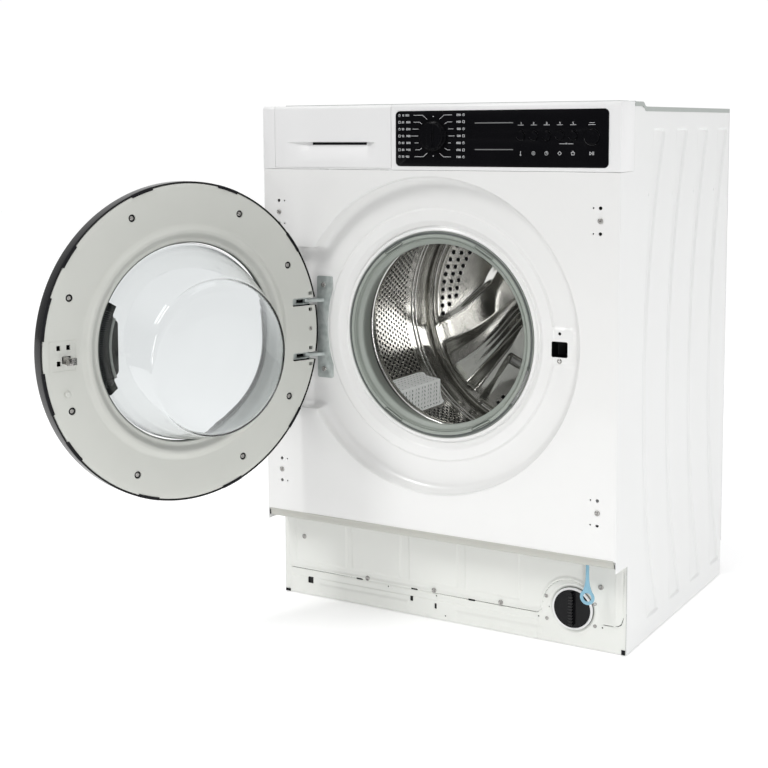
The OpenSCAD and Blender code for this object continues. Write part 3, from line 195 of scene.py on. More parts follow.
# %% Finishes
def finish(title, light, dark, rough, metal=0.0, cloud=18.0, peel=900.0, bump=0.02,
           grain=None, worn=None, coat=0.0, glow=None, spec=0.5):
    """A procedural material from two tints, a roughness range and a bump height in mm.

    The darker tint is a colour, or one number that says how much darker it is.
    """
    if not isinstance(dark, tuple):
        dark = tuple(tone - dark for tone in light)
    paint = bpy.data.materials.new(title)
    paint.use_nodes = True
    kinds = {"shader": "Principled BSDF", "source": "ShaderNodeGroup", "tint": "ShaderNodeMix",
             "spread": "ShaderNodeMapRange", "relief": "ShaderNodeBump"}
    values = {"source.node_tree": GRAIN if grain else MOTTLE, "tint.data_type": "RGBA",
              "tint.A": (*dark, 1), "tint.B": (*light, 1), "spread.To Min": rough[0],
              "spread.To Max": rough[1], "relief.Strength": 0.6, "relief.Distance": bump * MM,
              "shader.Metallic": metal, "shader.Coat Weight": coat, "shader.Coat Roughness": 0.05,
              "shader.Specular IOR Level": spec}
    values |= {"source.Stretch": grain} if grain else {"source.Cloud Scale": cloud, "source.Peel Scale": peel}
    links = ["source.Mask > tint.Factor", "source.Mask > spread.Value", "spread.Result > shader.Roughness",
             "source.Height > relief.Height", "relief.Normal > shader.Normal",
             "tint.Result > shader.Base Color"]
    if worn:
        kinds |= {"edge": "ShaderNodeGroup", "rub": "ShaderNodeMix"}
        values |= {"edge.node_tree": WEAR, "rub.data_type": "RGBA", "rub.B": (*worn, 1)}
        links[-1:] = ["edge.Mask > rub.Factor", "tint.Result > rub.A", "rub.Result > shader.Base Color"]
    # A glow adds light of the surface's own tint: painted light on the lifters and the window's marks, while
    # the floor's glow keeps it evenly white.
    if glow:
        values |= {"shader.Emission Color": (*light, 1), "shader.Emission Strength": glow}
    wired(paint.node_tree, kinds, values, links)
    paint.diffuse_color = (*light, 1)
    return paint


WHITE_ENAMEL = finish("white_enamel", (0.865, 0.865, 0.855), 0.02, (0.26, 0.36), bump=0.012, coat=0.3)
SIDE_ENAMEL = finish("side_enamel", (0.84, 0.845, 0.84), 0.02, (0.32, 0.44), bump=0.012, coat=0.2)
PLINTH_ENAMEL = finish("plinth_enamel", (0.82, 0.83, 0.795), 0.025, (0.34, 0.44), bump=0.01)
# The sheet's white enamel, painted darker for the fold: painted shade on its downward face.
FOLD_ENAMEL_PAINTED_SHADE = finish("fold_enamel", (0.54, 0.54, 0.50), 0.05, (0.4, 0.5), bump=0.01)
ZINC_SHEET = finish("zinc_sheet", (0.62, 0.63, 0.64), (0.46, 0.47, 0.49), (0.30, 0.46),
                    metal=0.9, cloud=70, bump=0.01)
EDGE_ZINC = finish("edge_zinc", (0.46, 0.49, 0.47), 0.06, (0.35, 0.45), metal=0.3, cloud=50, bump=0.005)
HINGE_ZINC = finish("hinge_zinc", (0.72, 0.76, 0.74), (0.26, 0.31, 0.30), (0.28, 0.42),
                    metal=0.35, cloud=110, bump=0.01, worn=(0.62, 0.65, 0.64))
WHITE_MOULDING = finish("white_moulding", (0.86, 0.86, 0.86), 0.02, (0.30, 0.38), peel=1400, bump=0.012)
INNER_MOULDING = finish("inner_moulding", (0.72, 0.73, 0.74), 0.06, (0.42, 0.5))
BLACK_GLOSS = finish("black_gloss", (0.005, 0.005, 0.006), 0.002, (0.12, 0.18), bump=0.004, spec=0.22)
BLACK_SATIN = finish("black_satin", (0.010, 0.010, 0.011), 0.004, (0.34, 0.46),
                     peel=1500, worn=(0.04, 0.04, 0.04), spec=0.28)
RIB_BLACK = finish("rib_black", (0.11, 0.11, 0.112), 0.03, (0.3, 0.4), bump=0.01)
# Near-black used as painted shade in holes, wells, slots and gaps, and as the real black of the door's clips.
SHADE_AND_CLIP_BLACK = finish("hole_dark", (0.014, 0.014, 0.016), 0.006, (0.6, 0.7), bump=0.01, spec=0.15)
# Dark grey used as painted shade in grooves, gaps and along slot edges, and for the seal round the glass and
# the spring's hooks.
SHADE_AND_SEAL_DARK = finish("seam_dark", (0.10, 0.115, 0.10), (0.07, 0.08, 0.07), (0.5, 0.6), bump=0.01)
WARM_GREY = finish("warm_grey_moulding", (0.64, 0.65, 0.61), 0.03, (0.36, 0.46), peel=1600)
TUB_GREY = finish("tub_moulding", (0.55, 0.56, 0.57), 0.09, (0.5, 0.62), cloud=25, peel=500, bump=0.05)
CLAMP_GREY = finish("clamp_grey", (0.16, 0.17, 0.17), 0.05, (0.35, 0.45), metal=0.5, cloud=120, bump=0.005)
# Grey for the lifters' slots: painted shade where the openings are.
SLOT_SHADE_GREY = finish("slot_grey", (0.30, 0.33, 0.32), 0.06, (0.5, 0.6), bump=0.01)
# This grey serves the readout's printed rules and the painted highlight arcs beside the buttons.
READOUT_AND_PAINTED_GLINT_GREY = finish("readout_grey", (0.20, 0.205, 0.205), 0.04, (0.4, 0.5), bump=0.001)
# White print with a faint glow: painted light that keeps the marks bright on the dark pane.
MARK_WHITE_PAINTED_GLOW = finish("mark_white", (0.62, 0.63, 0.64), 0.07, (0.5, 0.6), bump=0.001, glow=0.15)
# The lifters' white glows: painted light that brightens them inside the dim drum.
LIFTER_WHITE_PAINTED_GLOW = finish("lifter_white", (0.86, 0.88, 0.86), 0.04, (0.32, 0.42), cloud=40, glow=0.34)
STRAP_BLUE = finish("strap_blue", (0.26, 0.48, 0.61), 0.05, (0.25, 0.35), cloud=60, bump=0.01)
GREY_RUBBER = finish("grey_rubber", (0.36, 0.39, 0.355), (0.30, 0.33, 0.30), (0.40, 0.54),
                     cloud=30, peel=700, bump=0.03)
FOOT_RUBBER = finish("foot_rubber", (0.03, 0.03, 0.03), 0.01, (0.6, 0.8), bump=0.05)
BELT_RUBBER = finish("belt_rubber", (0.03, 0.03, 0.03), 0.012, (0.6, 0.75), grain=(30, 900, 30), bump=0.1)
DRUM_STEEL = finish("drum_steel", (0.68, 0.675, 0.65), 0.1, (0.20, 0.27),
                    metal=1, grain=(40, 300, 40), bump=0.0005)
BACK_STEEL = finish("drum_back_steel", (0.70, 0.695, 0.67), 0.08, (0.08, 0.14),
                    metal=1, grain=(30, 24, 30), bump=0.0005)
SCREW_STEEL = finish("screw_steel", (0.50, 0.49, 0.47), (0.32, 0.31, 0.30), (0.22, 0.34),
                     metal=1, cloud=300, bump=0.01)
TURNED_STEEL = finish("turned_steel", (0.60, 0.60, 0.60), 0.12, (0.2, 0.3), metal=1, grain=(40, 900, 40))
CAST_ALLOY = finish("cast_alloy", (0.52, 0.53, 0.54), 0.1, (0.4, 0.55), metal=0.9, peel=350, bump=0.1)
IRON_GREY = finish("weight_casting", (0.28, 0.28, 0.27), 0.08, (0.75, 0.95), cloud=60, peel=250, bump=0.3)
FLOOR_WHITE = finish("studio_floor", (0.93, 0.93, 0.93), 0.02, (0.6, 0.7), bump=0.001, glow=0.30)


def bowl_glass():
    """Clear glass with a faint green cast, whose low bump bends the highlights."""
    glass = bpy.data.materials.new("pressed_glass")
    glass.use_nodes = True
    wired(glass.node_tree,
          {"shader": "Principled BSDF", "wave": "ShaderNodeGroup", "tint": "ShaderNodeMix",
           "relief": "ShaderNodeBump"},
          {"wave.node_tree": MOTTLE, "wave.Cloud Scale": 9, "wave.Peel Scale": 22, "tint.data_type": "RGBA",
           "tint.A": (0.71, 0.735, 0.74, 1), "tint.B": (0.75, 0.775, 0.78, 1), "relief.Strength": 0.25,
           "relief.Distance": 0.6 * MM, "shader.Roughness": 0.02, "shader.IOR": 1.48,
           "shader.Transmission Weight": 1.0},
          ["wave.Mask > tint.Factor", "tint.Result > shader.Base Color", "wave.Height > relief.Height",
           "relief.Normal > shader.Normal"])
    return glass


GLASS = bowl_glass()
print("finishes:", len(bpy.data.materials))


# %% [markdown]
# Most parts of a machine are turned, pressed or moulded. A turned part is a
# profile swept round the door's axis, and a pressed sheet is a grid of points
# whose depth follows a rule. These helpers give such shapes.

# %% Shapes
def merged(shapes):
    """Several shapes as one."""
    points, faces = [], []
    for more, shape in shapes:
        faces += [tuple(len(points) + v for v in face) for face in shape]
        points += more
    return points, faces


def grid_faces(rows, columns, closed=False):
    """Quads of a grid whose columns may close on themselves."""
    faces = []
    for i in range(rows - 1):
        for j in range(columns if closed else columns - 1):
            k = (j + 1) % columns
            faces.append((i * columns + j, i * columns + k, (i + 1) * columns + k, (i + 1) * columns + j))
    return faces


def turned(profile, steps, start=0.0, sweep=360.0):
    """A closed profile of (radius, depth) swept round the door's axis."""
    whole = sweep == 360
    count = steps if whole else steps + 1
    angles = [radians(start + sweep * k / steps) for k in range(count)]
    points = [polar(radius, y, a) for radius, y in profile for a in angles]
    faces = grid_faces(len(profile), count, whole)
    last = (len(profile) - 1) * count
    faces += [(last + j, last + (j + 1) % count, (j + 1) % count, j) for j in range(steps)]
    if not whole:
        faces.append(tuple(i * count for i in range(len(profile))))
        faces.append(tuple(i * count + count - 1 for i in range(len(profile) - 1, -1, -1)))
    return points, faces


def turned_at(x, z, profile, steps):
    """A small turned form about a line along y, closed at its first ring."""
    points = [(x + u, y, z + v) for r, y in profile for u, v in circle(r, steps)]
    return points, grid_faces(len(profile), steps, True) + [tuple(range(steps))]


def prism(ring, y0, y1):
    """A bar along y with an outline of (x, z) points."""
    n = len(ring)
    faces = [tuple(range(n)), tuple(range(2 * n - 1, n - 1, -1))]
    faces += [(i, n + i, n + (i + 1) % n, (i + 1) % n) for i in range(n)]
    return [(x, y, z) for y in (y0, y1) for x, z in ring], faces


def blocks(boxes, rounding=0.0):
    """Boxes given by two corners, with their edges along y rounded."""
    bars = []
    for (x0, y0, z0), (x1, y1, z1) in boxes:
        ring = [(x0, z0), (x1, z0), (x1, z1), (x0, z1)]
        r = min(rounding, (x1 - x0) / 2.01, (z1 - z0) / 2.01)
        if r > 0:
            corners = [(x0 + r, z0 + r), (x1 - r, z0 + r), (x1 - r, z1 - r), (x0 + r, z1 - r)]
            ring = [p for c, a in zip(corners, (180, 270, 0, 90)) for p in arc_points(c, r, a, a + 90, 4)]
        bars.append(prism(ring, y0, y1))
    return merged(bars)


def discs(places, y0, y1, sides=20):
    """Short rods along y, each given as (x, z, radius)."""
    return merged([prism([(x + u, z + v) for u, v in circle(r, sides)], y0, y1) for x, z, r in places])


def rim_shape(rings, sides):
    """A rim of (radius, height) rings about z, open in the middle."""
    return [(u, v, h) for r, h in rings for u, v in circle(r, sides)], grid_faces(len(rings), sides, True)


def disc_shape(radius, sides, height=0.0):
    """A flat disc about z."""
    return [(u, v, height) for u, v in circle(radius, sides)], [tuple(range(sides))]


# %% [markdown]
# A shape becomes a mesh with one finish. Modifiers round it, cut it or give it
# a wall, and are turned into plain mesh at once.

# %% Meshes
def new_object(title, mesh, paint):
    """Links a mesh as an object with one finish."""
    made = bpy.data.objects.new(title, mesh)
    bpy.context.scene.collection.objects.link(made)
    mesh.materials.clear()
    mesh.materials.append(paint)
    return made


def cleaned(mesh, merge=0.0, dissolve=False, recalc=True):
    """Merges a mesh's doubles, dissolves flat edges and makes its normals consistent, as asked."""
    work = bmesh.new()
    work.from_mesh(mesh)
    if merge:
        bmesh.ops.remove_doubles(work, verts=work.verts, dist=merge * MM)
    if dissolve:
        bmesh.ops.dissolve_limit(work, angle_limit=radians(0.3), verts=work.verts, edges=work.edges)
    if recalc:
        bmesh.ops.recalc_face_normals(work, faces=work.faces)
    work.to_mesh(mesh)
    work.free()
    return mesh


def shaded(obj, smooth=True):
    """Smooth or flat shading on every face."""
    for face in obj.data.polygons:
        face.use_smooth = smooth
    return obj


def mesh_from(title, shape, paint, smooth=True):
    """A mesh object from a shape in millimetres."""
    mesh = bpy.data.meshes.new(title)
    mesh.from_pydata(metres(shape[0]), [], shape[1])
    return shaded(new_object(title, cleaned(mesh, 0.02), paint), smooth)


def on_door(title, shape, paint):
    """A mesh drawn for the closed door, placed where the door stands."""
    return mesh_from(title, (opened(shape[0]), shape[1]), paint)


def copy_of(node, paint):
    """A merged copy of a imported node, to be rounded or cut further."""
    return new_object(node + "_rounded", cleaned(frame["nodes"][node].data.copy(), 0.004, True, False), paint)


def settled(obj, *modifiers):
    """Adds modifiers, each a kind with its settings, and turns them all into plain mesh."""
    for kind, settings in modifiers:
        added = obj.modifiers.new(kind, kind)
        for label, value in settings.items():
            setattr(added, label, value)
    mesh = bpy.data.meshes.new_from_object(obj.evaluated_get(bpy.context.evaluated_depsgraph_get()))
    obj.modifiers.clear()
    old, obj.data = obj.data, mesh
    bpy.data.meshes.remove(old)
    return obj


def crisp(obj, angle=35):
    """Smooth shading that keeps edges sharper than the angle."""
    obj.data.set_sharp_from_angle(angle=radians(angle))
    return obj


def thickened(obj, wall, side=-1):
    """Gives a sheet its wall, behind its face."""
    return settled(obj, ("SOLIDIFY", {"thickness": wall * MM, "offset": side, "use_even_offset": True}))


def softened(obj, width, angle=30, segments=2):
    """Rounds an object's sharp edges, as moulding and pressing do."""
    settled(obj, ("BEVEL", {"width": width * MM, "segments": segments, "limit_method": "ANGLE",
                            "angle_limit": radians(angle), "harden_normals": False}))
    return crisp(shaded(obj), 40)


def cut(obj, *cutters, operation="DIFFERENCE"):
    """Cuts an object with others, or unites them, and removes those others."""
    settled(obj, *[("BOOLEAN", {"operation": operation, "solver": "EXACT", "object": c}) for c in cutters])
    for cutter in cutters:
        bpy.data.objects.remove(cutter)
    return obj


def facing(obj, way):
    """Flips a sheet if its first face looks away from a direction."""
    if obj.data.polygons[0].normal.dot(Vector(way)) < 0:
        obj.data.flip_normals()
    return obj


def fits(obj, body, *nodes, slot=None):
    """Lets a finished piece ride on a body, in place of the nodes that it stands for."""
    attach(obj, body)
    if nodes:
        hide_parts(*nodes)
    print(obj.name, len(obj.data.polygons), "faces")
    return obj


# %% [markdown]
# What repeats is made by Geometry Nodes: a tree takes single points, each with
# a stored direction, and stands a copy of one template on every point.

# %% Geometry Nodes for repeats
def seating_tree():
    """Stands a template on each point: its z along one stored direction, its x towards another."""
    tree = bpy.data.node_groups.new("seat_copies", "GeometryNodeTree")
    tree.interface.new_socket(name="Geometry", in_out="OUTPUT", socket_type="NodeSocketGeometry")
    sockets = {"Geometry": "Geometry", "Template": "Object", "Size": "Float", "Finish": "Material"}
    for label, kind in sockets.items():
        tree.interface.new_socket(name=label, in_out="INPUT", socket_type="NodeSocket" + kind)
    wired(tree,
          {"given": "NodeGroupInput", "result": "NodeGroupOutput", "shape": "GeometryNodeObjectInfo",
           "facing": "GeometryNodeInputNamedAttribute", "lying": "GeometryNodeInputNamedAttribute",
           "turn": "FunctionNodeAlignRotationToVector", "roll": "FunctionNodeAlignRotationToVector",
           "stand": "GeometryNodeInstanceOnPoints", "real": "GeometryNodeRealizeInstances",
           "paint": "GeometryNodeSetMaterial"},
          {"facing.data_type": "FLOAT_VECTOR", "facing.Name": "facing", "lying.data_type": "FLOAT_VECTOR",
           "lying.Name": "lying", "turn.axis": "Z", "roll.axis": "X", "roll.pivot_axis": "Z"},
          ["given.Template > shape.Object", "given.Geometry > stand.Points", "shape.Geometry > stand.Instance",
           "facing.Attribute > turn.Vector", "turn.Rotation > roll.Rotation", "lying.Attribute > roll.Vector",
           "roll.Rotation > stand.Rotation", "given.Size > stand.Scale", "stand.Instances > real.Geometry",
           "real.Geometry > paint.Geometry", "given.Finish > paint.Material",
           "paint.Geometry > result.Geometry"])
    return tree


SEATING = seating_tree()


def seated(title, template, places, facings, paint, size=1.0, lying=None, smooth=True):
    """Copies of a template at millimetre places, each along its directions, as one object."""
    mesh = bpy.data.meshes.new(title)
    mesh.from_pydata(metres(places), [], [])
    for label, values in (("facing", facings), ("lying", lying or [(1, 0, 0)] * len(places))):
        stored = mesh.attributes.new(label, "FLOAT_VECTOR", "POINT")
        for item, value in zip(stored.data, values):
            item.vector = value
    made = new_object(title, mesh, paint)
    maker = made.modifiers.new("maker", "NODES")
    maker.node_group = SEATING
    values = {"Template": template, "Size": size, "Finish": paint}
    for item in SEATING.interface.items_tree:
        if item.in_out == "INPUT" and item.name in values:
            maker[item.identifier] = values[item.name]
    settled(made)
    for label in ("facing", "lying"):
        if label in made.data.attributes:
            made.data.attributes.remove(made.data.attributes[label])
    return shaded(made, smooth)


def standing(title, shape, paint):
    """A template at the origin, whose first face looks along its own z, that only the tree reads."""
    mesh = bpy.data.meshes.new("template_" + title)
    mesh.from_pydata([Vector(p) * MM for p in shape[0]], [], shape[1])
    return facing(new_object(mesh.name, cleaned(mesh), paint), (0, 0, 1))


print("tree for copies:", SEATING.name)


# %% [markdown]
# The camera stands where the photograph was taken: to the right of the
# machine, a little above the door's centre, looking slightly down. Broad area
# lights and a white surround keep the shadows soft, as in a light tent.

# %% Camera
def linked(title, data):
    """A camera or a lamp as an object in the scene."""
    made = bpy.data.objects.new(title, data)
    bpy.context.scene.collection.objects.link(made)
    return made


def photo_camera():
    """The camera at the photograph's angle; its shift only frames the picture."""
    azimuth, fall, roll = radians(31.28), radians(6.058), radians(-0.366)
    look = Vector((-sin(azimuth) * cos(fall), cos(azimuth) * cos(fall), -sin(fall)))
    level = look.cross(Vector((0, 0, 1))).normalized()
    above = level.cross(look)
    lens = bpy.data.cameras.new("photo_camera")
    lens.lens, lens.sensor_width, lens.clip_end = 67.25, 36, 50
    lens.shift_x, lens.shift_y = 0.0329, -0.1344
    right = cos(roll) * level + sin(roll) * above
    up = -sin(roll) * level + cos(roll) * above
    stand = linked("photo_camera", lens)
    stand.matrix_world = (Matrix.Translation((1.0154, -2.1219, 0.7646))
                          @ Matrix((right, up, -look)).transposed().to_4x4())
    bpy.context.scene.camera = stand
    return stand


camera = photo_camera()
print("camera at", tuple(round(v, 3) for v in camera.location))


# %% Floor, surround and lights
def soft_light(title, place, target, wide, high, power):
    """A rectangular area light that faces a target."""
    lamp = bpy.data.lights.new(title, "AREA")
    lamp.shape = "RECTANGLE"
    lamp.size, lamp.size_y, lamp.energy = wide, high, power
    stand = linked(title, lamp)
    stand.location = place
    stand.rotation_euler = (Vector(target) - Vector(place)).to_track_quat("-Z", "Y").to_euler()


def surround():
    """A white backdrop for the camera, and for the light a surround that is dark in front of the machine."""
    world = bpy.data.worlds.new("studio")
    world.use_nodes = True
    values = {"brighter.operation": "MAXIMUM", "pick.B": 1.02, "background.Color": (1, 1, 1, 1)}
    for name, low, high, dark, light in (("rear", -0.55, 0.45, 0.07, 0.85), ("sky", 0.25, 0.8, 0.0, 0.95)):
        values[name + ".interpolation_type"] = "SMOOTHSTEP"
        for label, value in (("From Min", low), ("From Max", high), ("To Min", dark), ("To Max", light)):
            values[name + "." + label] = value
    wired(world.node_tree,
          {"background": "Background", "place": "ShaderNodeTexCoord", "axes": "ShaderNodeSeparateXYZ",
           "rear": "ShaderNodeMapRange", "sky": "ShaderNodeMapRange", "brighter": "ShaderNodeMath",
           "seen": "ShaderNodeLightPath", "pick": "ShaderNodeMix"}, values,
          ["place.Generated > axes.Vector", "axes.Y > rear.Value", "axes.Z > sky.Value",
           "rear.Result > brighter.0", "sky.Result > brighter.1", "seen.Is Camera Ray > pick.Factor",
           "brighter.Value > pick.A", "pick.Result > background.Strength"])
    bpy.context.scene.world = world


floor_mesh = bpy.data.meshes.new("studio_floor")
floor_mesh.from_pydata([(-9, -1.9, -0.0005), (9, -1.9, -0.0005), (9, 14, -0.0005), (-9, 14, -0.0005)], [],
                       [(0, 1, 2, 3)])
new_object("studio_floor", floor_mesh, FLOOR_WHITE)
surround()
soft_light("key_light", (-1.1, -2.3, 2.7), (0, -0.2, 0.45), 0.5, 1.2, 35)
soft_light("front_fill", (1.75, -2.9, 0.6), (0, -0.2, 0.4), 0.45, 1.3, 21)
soft_light("side_fill", (3.2, -0.2, 1.9), (0.3, 0, 0.4), 0.8, 1.6, 6)
bpy.context.scene.view_settings.view_transform = "Standard"
print("lights:", len(bpy.data.lights))

# %% [markdown]
# The front is one pressed steel sheet. Its deep round recess holds the closed
# door, and a pocket on the left makes room for the hinge. A grid of rings round
# the door's axis follows the pressing, from the rolled edge of the porthole to
# the outline of the sheet, so every fold line runs along a ring.

# %% Front sheet
RECESS_R = 240.0
RECESS_Y = 25.0
BEND_R = 13
POCKET = (250.0, 127.5)
SHEET_TOP, SHEET_FOOT = 702.2, 151.5
HEM = [(157.6, 34.0), (157.5, 30.5), (158.4, 28.4), (160.5, 27.5), (162.6, 28.4), (163.6, 30.4),
       (164.3, 31.8), (165.4, 32.2), (166.2, 31.6), (168, 29.5), (171, 26), (173.6, 22.9), (174.8, 22.1),
       (176.5, 22), (182, 22), (188, 22), (190.2, 22.2), (192, 23.6), (193.4, 24.8), (195, 25)]
HINGE_BOLTS = [(side * 270, z) for side in (-1, 1) for z in (219.5, 634.5)]


def recess_edge(angle):
    """Radius of the recess's edge at an angle, wider where the hinge pocket is."""
    x, z = cos(angle), sin(angle)
    if x >= 0:
        return RECESS_R
    to_side, to_end = POCKET[0] / -x, POCKET[1] / max(abs(z), 1e-6)
    return max(RECESS_R, -log(exp(-to_side / 4) + exp(-to_end / 4)) * 4)


def sheet_edge(angle, inset=0.0):
    """Radius of the sheet's outline at an angle."""
    x, z = cos(angle), sin(angle)
    up = (SHEET_TOP - inset - AXIS_Z) if z > 0 else (AXIS_Z - SHEET_FOOT - inset)
    return min((HALF_WIDTH - inset) / max(abs(x), 1e-9), up / max(abs(z), 1e-9))


def floor_depth(x, z, radius):
    """Depth of the recess floor, with the raised pad of the lock and the hinge seat."""
    v = z - LATCH_Z
    pad = ease(x, 176, 180) * (1 - ease(x, 223.5, 226)) * ease(v, -24, -21) * (1 - ease(v, 29, 32))
    depth = RECESS_Y - 3.0 * pad * ease(radius, 186, 191)
    seat = (1 - ease(x, -191, -187)) * (1 - ease(abs(z - AXIS_Z), 86, 90))
    depth -= 0.9 * seat * (1 - ease(radius, 233, 236))
    rib = exp(-((abs(z - AXIS_Z) - 92) / 1.6) ** 2) * (1 - ease(x, -196, -188))
    return depth + 1.3 * rib


def front_sheet():
    """The pressed sheet, ring by ring."""
    corners = [atan2(z - AXIS_Z, x) for x in (-HALF_WIDTH, HALF_WIDTH) for z in (SHEET_TOP, SHEET_FOOT)]
    angles = sorted([tau * k / 420 - pi for k in range(420)] + corners)
    points = []

    def ring(radius_rule, depth_rule):
        for a in angles:
            r = radius_rule(a)
            x, _, z = polar(r, 0, a)
            points.append((x, depth_rule(x, z, r), z))

    for radius, y in HEM:
        ring(lambda a: radius, lambda x, z, r: y - (RECESS_Y - floor_depth(x, z, r)) * ease(r, 188, 193))
    for t in (0.12, 0.25, 0.4, 0.55, 0.7, 0.85, 1.0):
        ring(lambda a: 195 + t * (recess_edge(a) - BEND_R - 195), floor_depth)
    for turn in (radians(90 * k / 8) for k in range(1, 9)):
        ring(lambda a: recess_edge(a) - BEND_R + BEND_R * sin(turn),
             lambda x, z, r: floor_depth(x, z, r) - BEND_R + BEND_R * cos(turn))
    for add, y in ((0, 6.0), (0, 2.2), (0.5, 0.9), (1.3, 0.2), (2.6, 0.0)):
        ring(lambda a: recess_edge(a) + add, lambda x, z, r: y)
    for t in (0.3, 0.65):
        ring(lambda a: recess_edge(a) + 2.6 + t * (sheet_edge(a, 1.6) - (recess_edge(a) + 2.6)),
             lambda x, z, r: 0.0)
    for inset, y in ((1.6, 0.0), (0.6, 0.25), (0.1, 0.9)):
        ring(lambda a: sheet_edge(a, inset), lambda x, z, r: y)
    return points, grid_faces(len(points) // len(angles), len(angles), True)


def furniture_holes():
    """The holes for the kitchen door's hinges, as (x, z, radius)."""
    return [(x + shift * (-1 if x > 0 else 1), z + up * 18, r)
            for x, z in HINGE_BOLTS for up in (-1, 1) for shift, r in ((0, 2.6), (10.5, 1.3))]


front = thickened(mesh_from("front_sheet", front_sheet(), WHITE_ENAMEL), 0.9)
slot = mesh_from("lock_slot", blocks([((188.3, 10, 434.5), (213.3, 40, 457.5))], 2.5), WHITE_ENAMEL)
holes = mesh_from("sheet_holes", discs(furniture_holes() + [(200.8, 469, 2.4)], -3, 40), WHITE_ENAMEL)
crisp(cut(front, slot, holes), 32)
fits(front, "cabinet", "front_panel", slot="white_panel")

# %% Lower fold of the front sheet
# The fold's darker enamel is painted shade, since the fold faces down.
FOLD_LINE = [(0.4, 153.2), (0.5, 152.0), (1.0, 151.3), (2.4, 150.8), (3.2, 150.2), (3.6, 149.2), (3.9, 146.0),
             (4.3, 143.4), (4.9, 141.8), (6.0, 140.9), (8.0, 140.5), (24.0, 140.2)]
FOLD_X = HALF_WIDTH - 3.6
fold = [(x * FOLD_X, y, z) for y, z in FOLD_LINE for x in (-1, -0.5, 0, 0.5, 1)], grid_faces(len(FOLD_LINE), 5)
fits(crisp(thickened(mesh_from("front_fold", fold, FOLD_ENAMEL_PAINTED_SHADE), 0.9, 1), 50), "cabinet", slot="white_panel")
# Painted shade: black blocks in the dark slits at both ends of the fold.
ends = blocks([((x - 1.0, 3.4, 141.0), (x + 1.0, 9.0, 151.4)) for x in (-297.2, 297.2)])
fits(mesh_from("fold_ends", ends, SHADE_AND_CLIP_BLACK, False), "cabinet", slot="white_panel")


# %% [markdown]
# The side sheets are stiffened by four tall flutes. Each is a crescent: its
# front flank sinks gently and its rear edge steps back sharply. The grid's
# columns follow the flutes, so the sharp edge stays sharp.

# %% Side sheets
FLUTE_MID = 396
REAR_EDGE = 493.7
FLANK = ((0.0, 0.0, 0.0), (0.05, 0.05, 0.9), (0.15, 0.2, 1.7), (0.3, 0.7, 2.3), (0.55, 1.9, 2.9),
         (0.8, 2.9, 3.2), (0.94, 3.3, 3.3), (0.985, 3.2, 3.2))
REAR_STEP = ((0.9, 2.2), (2.0, 0.9), (3.0, 0.2), (4.0, 0.0))


def bow(across, radius):
    """How far an arc has moved back at a distance from its middle."""
    return radius - sqrt(radius ** 2 - across ** 2)


def flute_edges(index, z):
    """Front and rear edge of a flute at a height."""
    y = 110 + 101 * index
    from_mid = z - FLUTE_MID
    tip = min(1.0, max(0.0, abs(from_mid) - 354.8) / 12)
    return y - 14 + bow(from_mid, 2000), y + bow(from_mid, 985) - 9 * bow(tip, 1)


def side_rows():
    """Heights of the grid, close together where the flutes end."""
    rows = [34.2 + 722.6 * k / 88 for k in range(89)]
    rows += [28.9, 29.6, 30.5, 31.5, 32.5, 33.3, 758.2, 759.2, 760.2, 761.2, 762.2, 763.0]
    return sorted(rows + [0.5, 15, 26, 133.9, 134.4, 702.0, 702.4, 766, 778, 791.6])


def side_sheet(sign):
    """One side sheet, row by row."""
    rows = side_rows()
    points = []
    for z in rows:
        front_edge = 48.0 if z < 134.2 else 53.3 if z > SHEET_TOP else 1.3
        ends = ease(z, 29.2, 33.4) * (1 - ease(z, 758.6, 762.8))
        square = ease(abs(z - FLUTE_MID), 322, 352)
        line = [(front_edge, 0.5), (front_edge + 0.4, 0.1), (front_edge + 1.5, 0.0)]
        for i in range(4):
            start, stop = flute_edges(i, z)
            last = line[-1][0]
            line += [(last + (start - last) * t, 0.0) for t in (0.5, 0.97)]
            line += [(start + (stop - start) * t, (low + (high - low) * square) * ends)
                     for t, low, high in FLANK]
            line += [(stop + add, depth * ends) for add, depth in REAR_STEP]
        last = line[-1][0]
        line += [(last + (492.2 - last) * t, 0.0) for t in (0.33, 0.66, 1.0)]
        line += [(493.3, 0.1), (REAR_EDGE, 0.5)]
        points += [(sign * (HALF_WIDTH - d), min(y, REAR_EDGE), z) for y, d in line]
    return points, grid_faces(len(rows), len(points) // len(rows))


def beside(sign, inner, outer, spans):
    """Boxes between two distances from the middle, on one side, given by (y, z) corners."""
    x0, x1 = sorted((sign * inner, sign * outer))
    return blocks([((x0, y0, z0), (x1, y1, z1)) for (y0, z0), (y1, z1) in spans])


for sign, side in ((-1, "left"), (1, "right")):
    sheet = facing(mesh_from("side_sheet_" + side, side_sheet(sign), SIDE_ENAMEL), (sign, 0, 0))
    dents = beside(sign, 298.0, 300.0, [((y - 2.2, z - 2.4), (y + 2.2, z + 2.4))
                                        for y, z in ((111, 667), (213, 665), (314, 664), (415, 663))])
    cut(thickened(sheet, 0.9), mesh_from("dents", dents, SIDE_ENAMEL))
    fits(crisp(sheet, 28), "cabinet", "side_panel_" + side, slot="side_sheet")


# %% Edge of the top plate
def edge_band(line, high, x0, x1):
    """A strip under a line of (y, z) points, between two places across."""
    points = [p for y, z in line for p in ((x0, y, z), (x1, y, z), (x1, y, z - high), (x0, y, z - high))]
    last = len(points) - 4
    return points, grid_faces(len(line), 4, True) + [(0, 1, 2, 3), (last + 3, last + 2, last + 1, last)]


